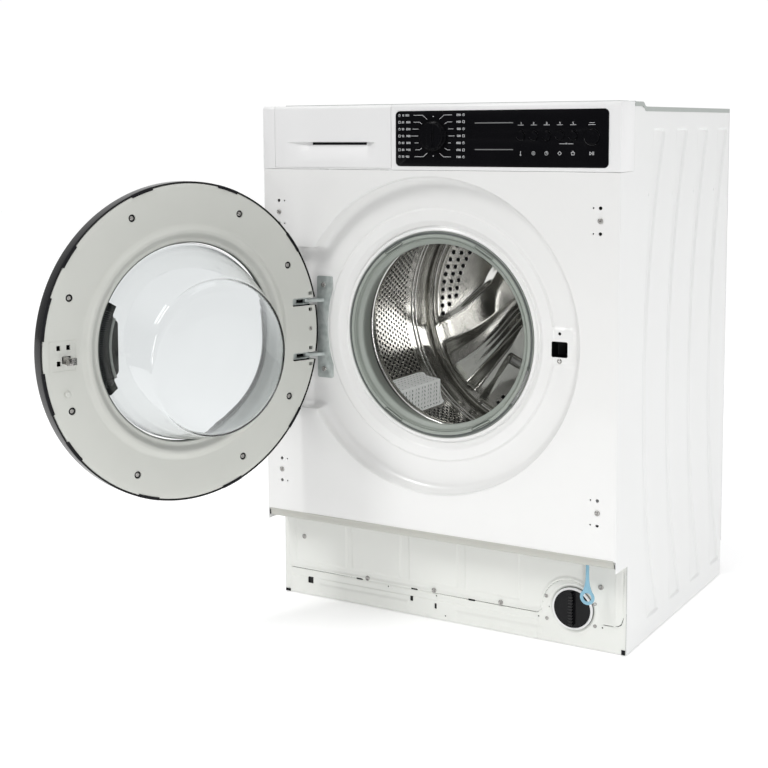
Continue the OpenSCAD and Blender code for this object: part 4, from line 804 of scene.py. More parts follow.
STEP_LINE = [(84, 800.0), (87, 799.3), (94.5, 793.9), (98, 793.2)]
fits(mesh_from("top_step", edge_band(STEP_LINE, 1.0, -297.2, 297.2), EDGE_ZINC), "cabinet", slot="zinc_sheet")
ridge = blocks([((-268, 20, 799.6), (289, 21.2, 801.0)), ((287.8, 21.3, 799.6), (289, 53, 801.0)),
                ((287.8, 53.1, 799.6), (299, 54.3, 800.6))])
fits(mesh_from("top_ridge", ridge, EDGE_ZINC, False), "cabinet", slot="zinc_sheet")
for sign, side in ((-1, "left"), (1, "right")):
    x0, x1 = sorted((sign * 297.4, sign * 299.0))
    band = edge_band([(53.5, 800.0)] + STEP_LINE + [(493.6, 793.2)], 6.6, x0, x1)
    fits(crisp(mesh_from("top_edge_" + side, band, EDGE_ZINC), 40), "cabinet", slot="zinc_sheet")
    filler = beside(sign, 289.0, 298.2, [((53.5, 791.0), (84.0, 797.6)), ((84.1, 785.0), (100.4, 792.0))])
    fits(mesh_from("fascia_end_" + side, filler, WHITE_MOULDING, False), "cabinet", slot="fascia_plastic")


# %% [markdown]
# The plinth is a plain pressed sheet behind the toe space. Its panels, rails
# and grooves are all shallow, so a fine grid with a depth rule shows them.

# %% Plinth
PLINTH_Y = 48.0
CAP = (214.5, 57)
RAIL = [(-286, 42.5), (150, 41.2), (158, 41.6), (164, 47)] + arc_points((210, 55), 44, 175, 45, 12)
CORNER_GROOVE = [(262, 39.4), (284, 40.6), (289.5, 44), (292, 52), (292.6, 125)]


def pressed(x, z, left, right, foot, head, height, soft=3):
    """Height of one pressed panel at a point."""
    return height * ease(x, left, left + soft) * (1 - ease(x, right - soft, right)) \
        * ease(z, foot, foot + soft) * (1 - ease(z, head - soft, head))


def near_line(x, z, line, reach, height):
    """Height of a rolled ridge along a line of (x, z) points."""
    best = 1e9
    for (x0, z0), (x1, z1) in zip(line, line[1:]):
        dx, dz = x1 - x0, z1 - z0
        t = max(0.0, min(1.0, ((x - x0) * dx + (z - z0) * dz) / (dx * dx + dz * dz)))
        best = min(best, hypot(x - x0 - t * dx, z - z0 - t * dz))
    return height * (1 - ease(best, 0.0, reach))


def plinth_depth(x, z):
    """Depth of the plinth's face."""
    out = 0.0
    for left, right in ((-277, -177), (-169, -76), (-64, 24), (35, 129)):
        out += pressed(x, z, left, right, 55, 160, 1.9)
    out += pressed(x, z, -286, 160, 4, 31, 1.3, 1.6)
    out += pressed(x, z, -232, -64, 5, 23, 1.4) + pressed(x, z, 20, 166, 7, 21, 1.4)
    out += near_line(x, z - 2.8, RAIL, 3.2, 1.4) - near_line(x, z, RAIL, 1.9, 1.8)
    out -= near_line(x, z, CORNER_GROOVE, 1.9, 1.8)
    out -= near_line(x, z, [(-291.5, 2), (-291.5, 134)], 1.6, 0.9)
    out += near_line(x, z, [(282, 52), (282, 118)], 3.0, 1.1)
    from_cap = hypot(x - CAP[0], z - CAP[1])
    out += 1.2 * exp(-((from_cap - 37) / 2.2) ** 2) - 2.2 * (1 - ease(from_cap, 31.5, 35.5))
    return PLINTH_Y - out


def plinth(across=400, up=95):
    """The plinth's face as a fine grid."""
    columns = [-297.0 + 594.0 * k / across for k in range(across + 1)]
    rows = [0.4 + 138.0 * k / up for k in range(up + 1)]
    return [(x, plinth_depth(x, z), z) for z in rows for x in columns], grid_faces(len(rows), len(columns))


def plinth_openings():
    """The filter's round hole, the slots and the small round holes."""
    slots = [((x - 6, 40, z - 1.7), (x + 6, 60, z + 1.7)) for x, z in ((-155, 42.6), (-54, 42.2), (47, 41.3))]
    slots += [((-17, 40, 17), (-13, 60, 26)), ((-253, 40, 20.5), (-242.5, 60, 31)),
              ((-60.5, 40, 22.5), (-55, 60, 30.5))]
    dots = [(-101, 38.5, 1.3), (-14, 37.7, 1.3), (2.3, 8.5, 1.3), (177, 53.5, 1.3), (159.4, 35.7, 1.3),
            (261, 35.3, 1.3)]
    return discs([(*CAP, 30.6)], 40, 60, 72), blocks(slots, 1.2), discs(dots, 40, 60, 12)


def groove_shade_strip(line, half=0.36, lift=0.12):
    """A dark strip of painted shade that lies in one of the plinth's grooves."""
    points = []
    for i, (x, z) in enumerate(line):
        (x0, z0), (x1, z1) = line[max(0, i - 1)], line[min(len(line) - 1, i + 1)]
        run = hypot(x1 - x0, z1 - z0) / half
        dx, dz, y = (z1 - z0) / run, (x1 - x0) / run, plinth_depth(x, z) - lift
        points += [(x - dx, y, z + dz), (x + dx, y, z - dz)]
    return points, grid_faces(len(line), 2)


face = thickened(facing(mesh_from("plinth_sheet", plinth(), PLINTH_ENAMEL), OUTWARD), 0.9)
crisp(cut(face, *[mesh_from("opening", shape, PLINTH_ENAMEL) for shape in plinth_openings()]), 40)
fits(face, "cabinet", "plinth_panel", slot="plinth_sheet")
# Painted shade: dark strips laid along the rail's groove and the corner groove.
groove_shade = facing(mesh_from("plinth_seams", merged([groove_shade_strip(RAIL), groove_shade_strip(CORNER_GROOVE)]), SHADE_AND_SEAL_DARK), OUTWARD)
fits(thickened(groove_shade, 0.3), "cabinet", slot="plinth_sheet")
# Painted shade: a dark ring laid in the gap round the filter cap.
gap_shade = turned_at(*CAP, [(31.2, 48.4), (32.1, 48.2), (32.1, 50), (31.2, 50)], 72)
fits(mesh_from("cap_gap", gap_shade, SHADE_AND_SEAL_DARK), "cabinet", slot="plinth_sheet")
corners = blocks([((-297.4, 46.8, 0.6), (-288.5, 49, 4.6)), ((291, 46.8, 0.6), (296.5, 49, 7.4))])
fits(mesh_from("plinth_corners", corners, SHADE_AND_CLIP_BLACK, False), "cabinet", slot="plinth_sheet")

# %% Release strap and cap ribs
STRAP_X, STRAP_Z = 249, 88
strap_side = [(2.5, 106), (2.5, 32), (2.8, 25), (3.9, 18), (5.6, 12.8)]
strap_line = strap_side + arc_points((0, 0), 11.2, 48, -228, 30) + [(-x, z) for x, z in reversed(strap_side)]
strap_outline = [(STRAP_X + x, STRAP_Z + z) for x, z in strap_line]
strap = mesh_from("release_strap", prism(strap_outline, 17.3, 18.9), STRAP_BLUE)
cut(strap, mesh_from("eye", discs([(STRAP_X, STRAP_Z, 6.3)], 10, 25, 32), STRAP_BLUE))
fits(softened(strap, 0.4, 40), "release", "release_pull", slot="strap_blue")
ribs = blocks([((211.4, 36.4, 34.0 + 4.6 * k), (217.6, 40.0, 35.8 + 4.6 * k)) for k in range(10)], 0.4)
fits(mesh_from("cap_ribs", ribs, BLACK_SATIN, False), "filter", slot="filter_black")


# %% [markdown]
# The control panel, the knob, the hinge and other pieces already have their
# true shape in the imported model. Real pieces have no knife edges, so a merged
# copy of each gets rounded edges and its own finish.

# %% Pieces with rounded edges
ROUNDED = [
    ("control_fascia", "cabinet", WHITE_MOULDING, 0.7, "fascia_plastic"),
    ("drawer_tray", "drawer", INNER_MOULDING, 0.5, "tray_plastic"),
    ("display_window", "cabinet", BLACK_GLOSS, 0.5, "dark_window"),
    ("program_knob", "knob", BLACK_GLOSS, 0.5, "knob_grey"),
    ("hinge_bracket", "cabinet", HINGE_ZINC, 0.35, "hinge_zinc"),
    ("hinge_arms", "door", HINGE_ZINC, 0.35, "hinge_zinc"),
    ("lock_housing", "cabinet", BLACK_SATIN, 0.8, "lock_plastic"),
    ("latch_hook", "latch", SCREW_STEEL, 0.3, "latch_steel"),
    ("top_plate", "cabinet", ZINC_SHEET, 0.3, "zinc_sheet"),
    ("start_button", "start", BLACK_GLOSS, 0.25, "knob_grey"),
    ("base_frame", "cabinet", BLACK_SATIN, 0.6, "base_plastic"),
    ("rear_panel", "cabinet", ZINC_SHEET, 0.3, "rear_sheet"),
    ("dispenser_housing", "cabinet", INNER_MOULDING, 0.5, "inner_plastic"),
]
ROUNDED += [("option_button_%d" % k, "option_%d" % k, BLACK_GLOSS, 0.2, "control_grey") for k in range(1, 6)]
for node, body, paint, width, slot_name in ROUNDED:
    part = softened(copy_of(node, paint), width)
    if node == "control_fascia":
        crisp(cut(part, mesh_from("step", blocks([((-310, 84.2, 792.4), (310, 110, 810))]), paint)), 40)
    fits(part, body, node, slot=slot_name)


# %% [markdown]
# The drawer's front has a scoop for the fingers that runs out to a point at
# both ends, with a dark slot under its straight upper edge. A grid whose depth
# follows a rule gives the scoop, and the same grid rolls over the top edge.

# %% Drawer front
DRAWER = (-276.0, -65.0, 704.8, 799.9)
SCOOP = (-259.0, -92.0, 713.0, 743.6)


def scoop_depth(x, z):
    """Depth of the drawer's face at a point."""
    left, right, foot, edge = SCOOP
    if z > edge + 0.3 or z < foot:
        return 0.0
    if -211 < x < -112 and z > 739.8:
        return 13.0
    ends = ease(x, left, -213) * (1 - ease(x, -110, right))
    return 8.5 * ends * ((min(z, edge) - foot) / (edge - foot)) ** 1.5


def drawer_face():
    """The drawer's front with its rolled top and its underside."""
    left, right, foot, top = DRAWER
    columns = sorted([left + 0.4 + (right - left - 0.8) * k / 150 for k in range(151)]
                     + [-211.1, -210.9, -112.1, -111.9])
    rows = sorted([foot + 0.4 + (790 - foot - 0.4) * k / 76 for k in range(77)] + [743.3, 743.7, 739.7, 739.9])
    points = [(x, y, foot) for y in (17.6, 0.5) for x in columns]
    points += [(x, 0.15 if z == rows[0] else scoop_depth(x, z), z) for z in rows for x in columns]
    bend = arc_points((5.0, top - 5.0), 5.0, 180, 90, 6) + [(17.6, top)]
    points += [(x, y, z) for y, z in bend for x in columns]
    return points, grid_faces(len(points) // len(columns), len(columns))


drawer = facing(mesh_from("drawer_front_scooped", drawer_face(), WHITE_MOULDING), (0, 0, -1))
fits(crisp(thickened(drawer, 2.2), 40), "drawer", "drawer_front", slot="drawer_plastic")
# Painted shade: a black plate behind the slot under the scoop's upper edge.
lining_shade = blocks([((-210.6, 9.0, 739.6), (-112.4, 12.8, 743.4))])
fits(mesh_from("drawer_slot_lining", lining_shade, SHADE_AND_CLIP_BLACK), "drawer", slot="drawer_plastic")

# %% [markdown]
# The dark window carries fine white marks: a fan of lines round the knob with
# plain numbers, two rules for the readout, and small signs under the buttons.
# Each mark is a run of thin strokes laid on the pane, digits too. Grey arcs beside the buttons are painted
# highlights.

# %% Window marks
KNOB_X, KNOB_Z = 7.0, 753.0
FAN_STEP = 10.2
BUTTONS = [148 + 20 * i for i in range(5)]
DIGITS = {"0": "ACFDA", "1": "CF", "2": "ACEBDF", "3": "ACFD BE", "4": "AB BE CF", "5": "CABEFD",
          "6": "CADFEB", "8": "ACFDA BE", "9": "EBACFD"}
SPOTS = {"A": (0, 1), "B": (0, 0.5), "C": (1, 1), "D": (0, 0), "E": (1, 0.5), "F": (1, 0)}


def strokes(lines, width):
    """Flat strokes along lines of (x, z) points."""
    bars = []
    for line in lines:
        for (x0, z0), (x1, z1) in zip(line, line[1:]):
            long = hypot(x1 - x0, z1 - z0) or 1e-6
            ex, ez = (x1 - x0) / long * width / 2, (z1 - z0) / long * width / 2
            bars.append(prism([(x0 - ex + ez, z0 - ez - ex), (x1 + ex + ez, z1 + ez - ex),
                               (x1 + ex - ez, z1 + ez + ex), (x0 - ex - ez, z0 - ez + ex)], -0.47, -0.38))
    return merged(bars)


def number_lines(text, x, z, high=2.5, wide=1.35, step=2.15):
    """Strokes of a number whose lower left corner is at (x, z)."""
    return [[(x + i * step + SPOTS[c][0] * wide, z + SPOTS[c][1] * high) for c in run]
            for i, digit in enumerate(text) for run in DIGITS.get(digit, "").split()]


def loop(x, z, radius, sides=16, start=0.0, sweep=360.0):
    """A round line, or a part of one."""
    return arc_points((x, z), radius, start, start + sweep, sides)


def around(x, z, *offsets):
    """A line of points given by their distances from a place."""
    return [(x + dx, z + dz) for dx, dz in offsets]


def fan_lines():
    """Leader lines on both sides of the knob."""
    lines = []
    rows = ((3, 18, 33, 10.5, 6.0), (2, 23, 33, 19, 2.8), (1, 25, 35, 25, 0), (0, 25.5, 37, 25.5, 0),
            (-1, 25, 31, 25, 0), (-2, 23, 30, 19.5, -2.4), (-3, 17, 31, 10.5, -5.2))
    for row, near, far, tip, turn in rows:
        level = KNOB_Z + FAN_STEP * row
        for side in (-1, 1):
            reach = far - 2 if side > 0 else far
            lines.append([(KNOB_X + side * reach, level), (KNOB_X + side * near, level)])
            if turn:
                lines.append([(KNOB_X + side * near, level), (KNOB_X + side * tip, level - turn)])
    return lines


def small_signs():
    """Rings, squares and dots at the outer ends of the fan, and the signs under the buttons."""
    lines = []
    for k in range(-3, 4):
        z = KNOB_Z + FAN_STEP * k
        for x in (KNOB_X - 57.2, KNOB_X + 50.0):
            if k % 2:
                lines += [loop(x, z, 1.7, 12), [(x, z), (x, z + 1.0)]]
            else:
                lines += [around(x, z, (-1.5, -1.6), (1.5, -1.6), (1.5, 1.6), (-1.5, 1.6), (-1.5, -1.6))]
    z = 728.2
    x1, x2, x3, x4, x5 = BUTTONS
    lines += [[(x1, z - 2.6), (x1, z + 2.8)], loop(x1, z - 2.6, 0.9, 8)]
    lines += [loop(x2, z, 2.5, 14), loop(x2, z, 1.0, 8)]
    lines += [loop(x3, z, 2.6, 16), around(x3, z, (0, 1.7), (0, 0), (1.3, 0))]
    lines += [around(x4, z, (0, -2.8), (2.8, 0), (0, 2.8), (-2.8, 0), (0, -2.8))]
    lines += [around(x5, z, (-2.6, 1.2), (-2, -2.2), (2, -2.2), (2.6, 1.2), (-2.6, 1.2)),
              around(x5, z, (-1, 2.8), (1, 2.8))]
    lines += [around(253.2, z, (0, -2.2), (0, 2.2), (2.8, 0), (0, -2.2))]
    return lines + [[(x, z - 2.2), (x, z + 2.2)] for x in (257.4, 259)]


def label_lines():
    """Plain numbers beside the fan and short dashes above the buttons."""
    lines = []
    left = ("15 800", "20 1000", "30 1200", "40 1400", "60 1000", "90 1400", "20 400")
    right = ("1200", "1400", "800", "600", "1000", "1200", "1400")
    for k, (a, b) in enumerate(zip(left, right)):
        z = KNOB_Z + FAN_STEP * (3 - k) - 1.25
        lines += number_lines(a, KNOB_X - 53, z) + number_lines(b, KNOB_X + 46 - 2.15 * len(b), z)
    for i, x in enumerate(BUTTONS):
        lines += number_lines(str(i + 1), x - 0.6, 769.3)
        lines += [[(x - 4.2, 768), (x + 4.4, 768)]]
    return lines + [[(251, 768), (261, 768)], [(252.4, 770.6), (259.6, 770.6)]]


def painted_highlight_arcs():
    """Painted highlights: grey arcs laid on the pane where the rims of the buttons and of the start button
    would catch the light.
    """
    upper = [loop(x, 753, 6.9, 32, 200, 100) for x in BUTTONS] + [loop(256, 751, 11.6, 40, 190, 110)]
    return upper + [loop(x, 753, 6.9, 32, 20, 70) for x in BUTTONS] + [loop(256, 751, 11.6, 40, 10, 80)]


dots = [loop(218, 741.8, 0.5, 6), [(6.7, 781.6), (7.3, 781.6)], [(6.7, 723.6), (7.3, 723.6)]]
slider = [[(208, 741.5), (228.5, 741.5)]]
rules = [[(76, 771.5), (135.5, 771.5)], [(76, 733.2), (135.5, 733.2)]]
MARKS = [("mark_fan", fan_lines(), 0.55, MARK_WHITE_PAINTED_GLOW), ("mark_signs", small_signs(), 0.6, MARK_WHITE_PAINTED_GLOW),
         ("mark_numbers", label_lines(), 0.5, MARK_WHITE_PAINTED_GLOW), ("mark_slider", slider, 0.5, MARK_WHITE_PAINTED_GLOW),
         ("mark_dots", dots, 1.1, MARK_WHITE_PAINTED_GLOW),
         ("readout_rules", rules, 1.5, READOUT_AND_PAINTED_GLINT_GREY), ("button_glints", painted_highlight_arcs(), 0.35, READOUT_AND_PAINTED_GLINT_GREY)]
for title, lines, width, paint in MARKS:
    fits(mesh_from(title, strokes(lines, width), paint, False), "cabinet", slot="dark_window")


# %% [markdown]
# The door is drawn closed, where its shape is a simple turned form, and every
# point is then turned about the hinge pin to where the door stands open.

# %% Door rings
FACE_Y = 20.0
SCREW_R = 207.3
ARM_Z = 43
CLIP_ANGLES = (36, 72, 108, 144)
SEATS = [polar(SCREW_R, FACE_Y, radians(a)) for a in (22.7, 64.3, 116.5, 150.3, -22.7, -64.3, -116.5, -150.3)]
OUTER_LINE = ([(236.9, 19.2), (237, 17)] + arc_points((232, 1), 5, 0, -90, 8)
              + [(200, -4), (178, -4), (164, 0.6), (150.6, 4.9), (150, 5.6), (150, 6.8), (150.8, 7.3),
                 (164, 3.1), (178, -1.6), (232, -1.6)]
              + arc_points((232, 1), 2.6, -90, 0, 6) + [(234.6, 19.2), (235.2, 19.4)])
BEAD = [(r, FACE_Y + 6.0 * ease(r, 153.0, 163.0) * (1 - ease(r, 165.0, 176.5)))
        for r in [181.4 - k for k in range(33)]]
INNER_LINE = ([(234.2, 8), (234.2, 18.6), (233.6, 19.6)] + [(r, FACE_Y) for r in (232.4, 222, 212, 200, 186)]
              + BEAD + [(148.6, 19.2), (147.7, 17.8), (147.5, 14.6), (147.5, 12.8), (149, 12.9), (158, 17.4),
                        (172, 17.4), (231, 17.4), (231.8, 16.6), (231.8, 8)])


def arm_boxes(x0, y0, x1, y1):
    """Boxes round both hinge arms."""
    return [((x0, y0, z - 6.2), (x1, y1, z + 6.2)) for z in (AXIS_Z - ARM_Z, AXIS_Z + ARM_Z)]


def ring_openings():
    """The holes of the inner ring: arm slots, square holes, the hook's hole and the screw seats."""
    square = [((-225.3, 0, AXIS_Z + v - 2.7), (-218.7, 30, AXIS_Z + v + 2.7)) for v in (-56, 56, -30.5, 30.5)]
    square += [((u - 3.0, 0, LATCH_Z + v - 3.6), (u + 3.0, 30, LATCH_Z + v + 3.6))
               for u in (194.8, 209.8) for v in (-4.5, 17.5)]
    hook = [((190.8, 0, LATCH_Z - 5.3), (204.8, 30, LATCH_Z + 5.3))]
    return (blocks(arm_boxes(-236.5, 0, -188.2, 30), 2), blocks(square, 0.8), blocks(hook, 0.8),
            discs([(x, z, 5.6) for x, _, z in SEATS], 17.8, 30, 28))


outer_ring = on_door("door_outer_ring_gloss", turned(OUTER_LINE, 200), BLACK_GLOSS)
cut(outer_ring, on_door("notches", blocks(arm_boxes(-238.5, -1.8, -224.2, 24)), BLACK_GLOSS))
fits(crisp(outer_ring), "door", "door_outer_ring", slot="ring_black")
inner_ring = on_door("door_inner_ring_moulded", turned(INNER_LINE, 240), WARM_GREY)
cut(inner_ring, *[on_door("opening", shape, WARM_GREY) for shape in ring_openings()])
fits(crisp(inner_ring), "door", "door_inner_ring", slot="ring_grey")


# %% [markdown]
# Small things make the moulded ring believable: black clips that grip its rim,
# a raised frame round the latch, a peg, and screws that sit in chamfered wells.
# The clips are short turned pieces, the screws are copies.

# %% Clips, latch frame and peg
clip_line = [(232.2, 19.6), (232.4, 20.8), (234.6, 21.0), (237.0, 20.0), (237.0, 17.5)]
clip_places = [(a * s, 4.3) for a in CLIP_ANGLES for s in (-1, 1)] + [(13, 7.5), (-13, 7.5)]
clips = merged([turned(clip_line, 10, middle - half, 2 * half) for middle, half in clip_places])
fits(crisp(on_door("ring_clips", clips, SHADE_AND_CLIP_BLACK)), "door", slot="ring_black")

left, right, foot, top, bar = 180.8, 223.8, 427.0, 473.0, 3.6
frame_bars = [on_door("latch_frame", blocks([((x0, 18.5, z0), (x1, 20.6, z1))]), WARM_GREY)
              for x0, z0, x1, z1 in ((left, foot, right, foot + bar), (left, top - bar, right, top),
                                     (left, foot, left + bar, top), (right - bar, foot, right, top))]
latch_frame = frame_bars[0]
for bar_mesh in frame_bars[1:]:
    cut(latch_frame, bar_mesh, operation="UNION")
fits(softened(latch_frame, 0.9, 25, 3), "door", slot="ring_grey")
peg = turned_at(198, AXIS_Z - 55, [(0.2, 24.6), (2.9, 24.5), (4.2, 23.6), (4.5, 21.6), (4.8, 19.5)], 28)
fits(on_door("door_peg", peg, WARM_GREY), "door", slot="ring_grey")


# %% Screws in their wells
def screw_head(radius, height, sides=32):
    """A pan head with a crossed recess, along z, as rings of points."""
    rings = (0.14, 0.28, 0.4, 0.52, 0.62, 0.75, 0.88, 0.96, 1.0)
    points = [(0, 0, height * 0.45)]
    for t in rings:
        dome = height * sqrt(max(0.0, 1 - (0.93 * t) ** 4))
        for x, y in circle(radius * t, sides):
            cross = min(abs(x), abs(y)) < 0.16 * radius and max(abs(x), abs(y)) < 0.6 * radius
            points.append((x, y, dome - (0.5 * height if cross else 0)))
    points += [(x, y, 0) for x, y in circle(radius, sides)]
    faces = [(0, 1 + k, 1 + (k + 1) % sides) for k in range(sides)]
    return points, faces + [tuple(1 + v for v in f) for f in grid_faces(len(rings) + 1, sides, True)]


head = standing("head", screw_head(4.2, 2.2), SCREW_STEEL)
lip = standing("lip", rim_shape([(7.3, -0.1), (6.6, 0.45), (5.9, 0.35), (5.4, -0.9)], 28), WARM_GREY)
# Painted shade: a dark disc at the bottom of each screw well.
floor_shade_disc = standing("well_floor", disc_shape(5.7, 24), SHADE_AND_CLIP_BLACK)
towards_face = [doorwise(0, 1, 0)] * (len(SEATS) + 1)
wells = [(x, 17.8, z) for x, _, z in SEATS] + [(-221.6, 19.9, AXIS_Z)]
fits(seated("ring_screws", head, opened(wells), towards_face, SCREW_STEEL, 0.76), "door",
     "door_screws", slot="screw_steel")
fits(seated("well_lips", lip, opened(SEATS), towards_face, WARM_GREY), "door", slot="ring_grey")
floors_in_shade = opened([(x, 17.95, z) for x, _, z in SEATS])
fits(seated("well_floors", floor_shade_disc, floors_in_shade, towards_face, SHADE_AND_CLIP_BLACK), "door", slot="ring_grey")

front_places = [(-202.0, 22.2, AXIS_Z + 67), (-202.0, 22.2, AXIS_Z - 67), (200.8, 23.2, 429)]
front_places += [(x, 0.0, z) for x, z in HINGE_BOLTS]
front_places += [(-259, 46.6, 98), (-139, 47.4, 46), (-18, 47.4, 46), (97, 47.4, 46), (258, 48, 96)]
cap_places = [(172, 48, 69), (173, 48, 35), (249.5, 48, 69.5), (249.5, 48, 36)]
fits(seated("cap_screws", head, cap_places, [OUTWARD] * 4, SCREW_STEEL, 0.66), "cabinet", slot="screw_steel")
fits(seated("sheet_screws", head, front_places, [OUTWARD] * len(front_places), SCREW_STEEL, 0.95), "cabinet",
     "front_screws", slot="screw_steel")


# %% Glass bowl
def bowl_rings(inset):
    """Rings of the oblique bowl, as (radius, drop, depth), set in by the wall."""
    rings = []
    for t in (k / 14 for k in range(15)):
        rings.append((146 - 31 * t ** 1.15 - inset, 13 * t, 8 + (94 - inset * 0.4) * t))
    nose_y = 110 - inset
    for a in (radians(90 * k / 6) for k in range(1, 7)):
        rings.append((115 - inset - 17 * (1 - cos(a)), 13, 102 - inset * 0.4 + (nose_y - 103) * sin(a)))
    nose = ((80, 0.6), (55, 1.2), (28, 1.7), (8, 1.9))
    return rings + [(radius, 13, nose_y - 1 + 0.5 * more) for radius, more in nose]


def glass_bowl(steps=96, wall=4):
    """The bowl's outer skin, inner skin and the flange between."""
    outer, inner = bowl_rings(0), bowl_rings(wall)
    angles = [tau * k / steps for k in range(steps)]
    points = [polar(radius, y, a, drop) for radius, drop, y in outer + inner for a in angles]
    skin = grid_faces(len(outer), steps, True)
    shift = len(outer) * steps
    faces = skin + [tuple(shift + v for v in reversed(f)) for f in skin]
    faces += [(k, shift + k, shift + (k + 1) % steps, (k + 1) % steps) for k in range(steps)]
    faces += [tuple(range(shift - steps, shift)), tuple(range(2 * shift - 1, 2 * shift - steps - 1, -1))]
    return points, faces


fits(on_door("glass_bowl", glass_bowl(), GLASS), "door", "door_glass", slot="bowl_glass")

# %% Ribbed grip
GRIP_LINE = [(112, -2), (149.7, -2), (149.7, 5.2), (148.6, 6.3), (145, 6.5), (138, 5.9), (128, 4.4),
             (119, 2.3), (113, 1.6), (112, 0.6)]


def crescent(shape):
    """The grip's shape with its inner edge parallel to the ring, and a straight pad at the middle."""
    moved = []
    for x, y, z in shape[0]:
        r, a = hypot(x, z - AXIS_Z), atan2(z - AXIS_Z, x)
        pad = 1 - ease(abs(degrees(a)), 18.5, 22.5)
        moved.append(polar(149.7 - (149.7 - r) * (27.7 + (122 - 105 / cos(a)) * pad) / 37.7, y, a))
    return moved, shape[1]


grip = on_door("grip_body", crescent(turned(GRIP_LINE, 48, -29, 58)), BLACK_SATIN)
fits(softened(grip, 0.9, 50, 3), "door", "door_handle_grip", slot="grip_black")
# Painted highlight: a pale grey strip along the grip's inner edge, where that edge catches the light.
edge = turned([(117.8, 2.0), (117.8, 4.7), (121.6, 5.1), (121.6, 2.0)], 34, -21, 42)
fits(on_door("grip_edge", edge, WARM_GREY), "door", slot="ring_grey")
seal = turned([(146.9, 13.5), (147.6, 13.5), (147.9, 18.7), (147.1, 18.9)], 120)
fits(on_door("bowl_seal", seal, SHADE_AND_SEAL_DARK), "door", slot="ring_black")

RIB_SLOPE = radians(10.2)
rib_angles = [radians(-23.4 + 1.3 * k) for k in range(37)]
rib_bar = [(x * w * 9.5, y * w * 0.75, h) for h, w in ((-0.4, 1.0), (0.55, 0.72))
           for x, y in ((-1, -1), (1, -1), (1, 1), (-1, 1))]
rib_faces = [(0, 1, 5, 4), (1, 2, 6, 5), (2, 3, 7, 6), (3, 0, 4, 7), (4, 5, 6, 7)]
rib = standing("rib", (rib_bar, rib_faces), RIB_BLACK)
rib_places = [(134.6 * cos(a), 5.4, AXIS_Z + 135 * sin(a)) for a in rib_angles]
rib_along = [doorwise(cos(a) * cos(RIB_SLOPE), sin(RIB_SLOPE), sin(a) * cos(RIB_SLOPE)) for a in rib_angles]
rib_up = [doorwise(-cos(a) * sin(RIB_SLOPE), cos(RIB_SLOPE), -sin(a) * sin(RIB_SLOPE)) for a in rib_angles]
grip_ribs = seated("grip_ribs", rib, opened(rib_places), rib_up, RIB_BLACK, 1.0, rib_along, False)
fits(grip_ribs, "door", slot="grip_black")


# %% [markdown]
# The gasket is a soft ring that joins the front sheet to the tub. Its band,
# groove and lip are one turned profile, with rounded folds.

# %% Gasket
GASKET_LINE = [(157.2, 28), (157.2, 35), (170, 35), (173, 38), (173, 45), (170, 48), (165, 48.5), (165, 51),
               (170, 51.5), (173, 54.5), (173, 60), (170, 63), (162.6, 63), (162.6, 70), (158.9, 70),
               (158.9, 59.5), (168, 59.5), (169.5, 58), (169.5, 56), (168, 54.7), (161.5, 54.7), (161.5, 45),
               (168, 44.5), (169.5, 43), (169.5, 40), (168, 38.5), (153.7, 38.5), (143.5, 39.5),
               (150.3, 74), (147, 74),
               (138.4, 42), (138.0, 39), (138.6, 36.8), (140, 35.4), (144, 34.2), (145.2, 33.0), (145.6, 31.5),
               (145.8, 28.6), (146.1, 27.3), (146.6, 26.9), (147.0, 28.4), (148.0, 28.5), (148.4, 26.8),
               (149.0, 26.4), (152.5, 26.4), (153.1, 26.8), (153.5, 29.0), (155.6, 29.2), (156.2, 28.6),
               (156.6, 27.6)]
gasket = mesh_from("gasket_moulded", turned(GASKET_LINE, 240), GREY_RUBBER)
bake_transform(crisp(gasket, 50))
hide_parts("door_gasket")
print("gasket follows the front sheet at its lip and the tub at its rear:", len(gasket.data.polygons), "faces")
clamp = turned(arc_points((154.7, 27.9), 1.0, 0, 330, 11), 240)
fits(mesh_from("clamp_wire", clamp, CLAMP_GREY), "cabinet", "gasket_clamp", slot="clamp_steel")


# %% Moulded slots and clamp spring
def slot_tube(middle, radius=150.7, y=26.4, half_long=15.0, half_wide=1.7, thick=0.6, sides=8):
    """The round edge of a moulded slot that follows the gasket's band."""
    ring = (arc_points((half_long, 0), half_wide, -90, 90, 8)
            + arc_points((-half_long, 0), half_wide, 90, 270, 8))
    line = [Vector(polar(radius + v, y, radians(middle) + u / radius)) for u, v in ring]
    across = Vector((0, 1, 0))
    points, count = [], len(line)
    for i, here in enumerate(line):
        side = (line[(i + 1) % count] - line[i - 1]).normalized().cross(across)
        points += [tuple(here + thick * (u * side + v * across)) for u, v in circle(1, sides)]
    return points, [tuple(v % len(points) for v in f) for f in grid_faces(count + 1, sides, True)]


def coil(start, end, radius=154.9, y=26.4, thick=1.7, wire=0.5, pitch=1.9, sides=5):
    """A small spring that follows the clamp wire between two angles."""
    turns = radians(end - start) * radius / pitch
    count = int(turns * 9)
    line = []
    for t in (i / count for i in range(count + 1)):
        b = tau * turns * t
        a = radians(start + (end - start) * t)
        line.append(Vector(polar(radius + thick * cos(b), y + thick * sin(b), a)))
    points = []
    for i, here in enumerate(line):
        ahead = (line[min(i + 1, count)] - line[max(i - 1, 0)]).normalized()
        side = ahead.cross(Vector((0, 1, 0.01))).normalized()
        up = side.cross(ahead)
        points += [tuple(here + wire * (u * side + v * up)) for u, v in circle(1, sides)]
    ends = [tuple(range(sides)), tuple(len(points) - 1 - k for k in range(sides))]
    return points, grid_faces(count + 1, sides, True) + ends


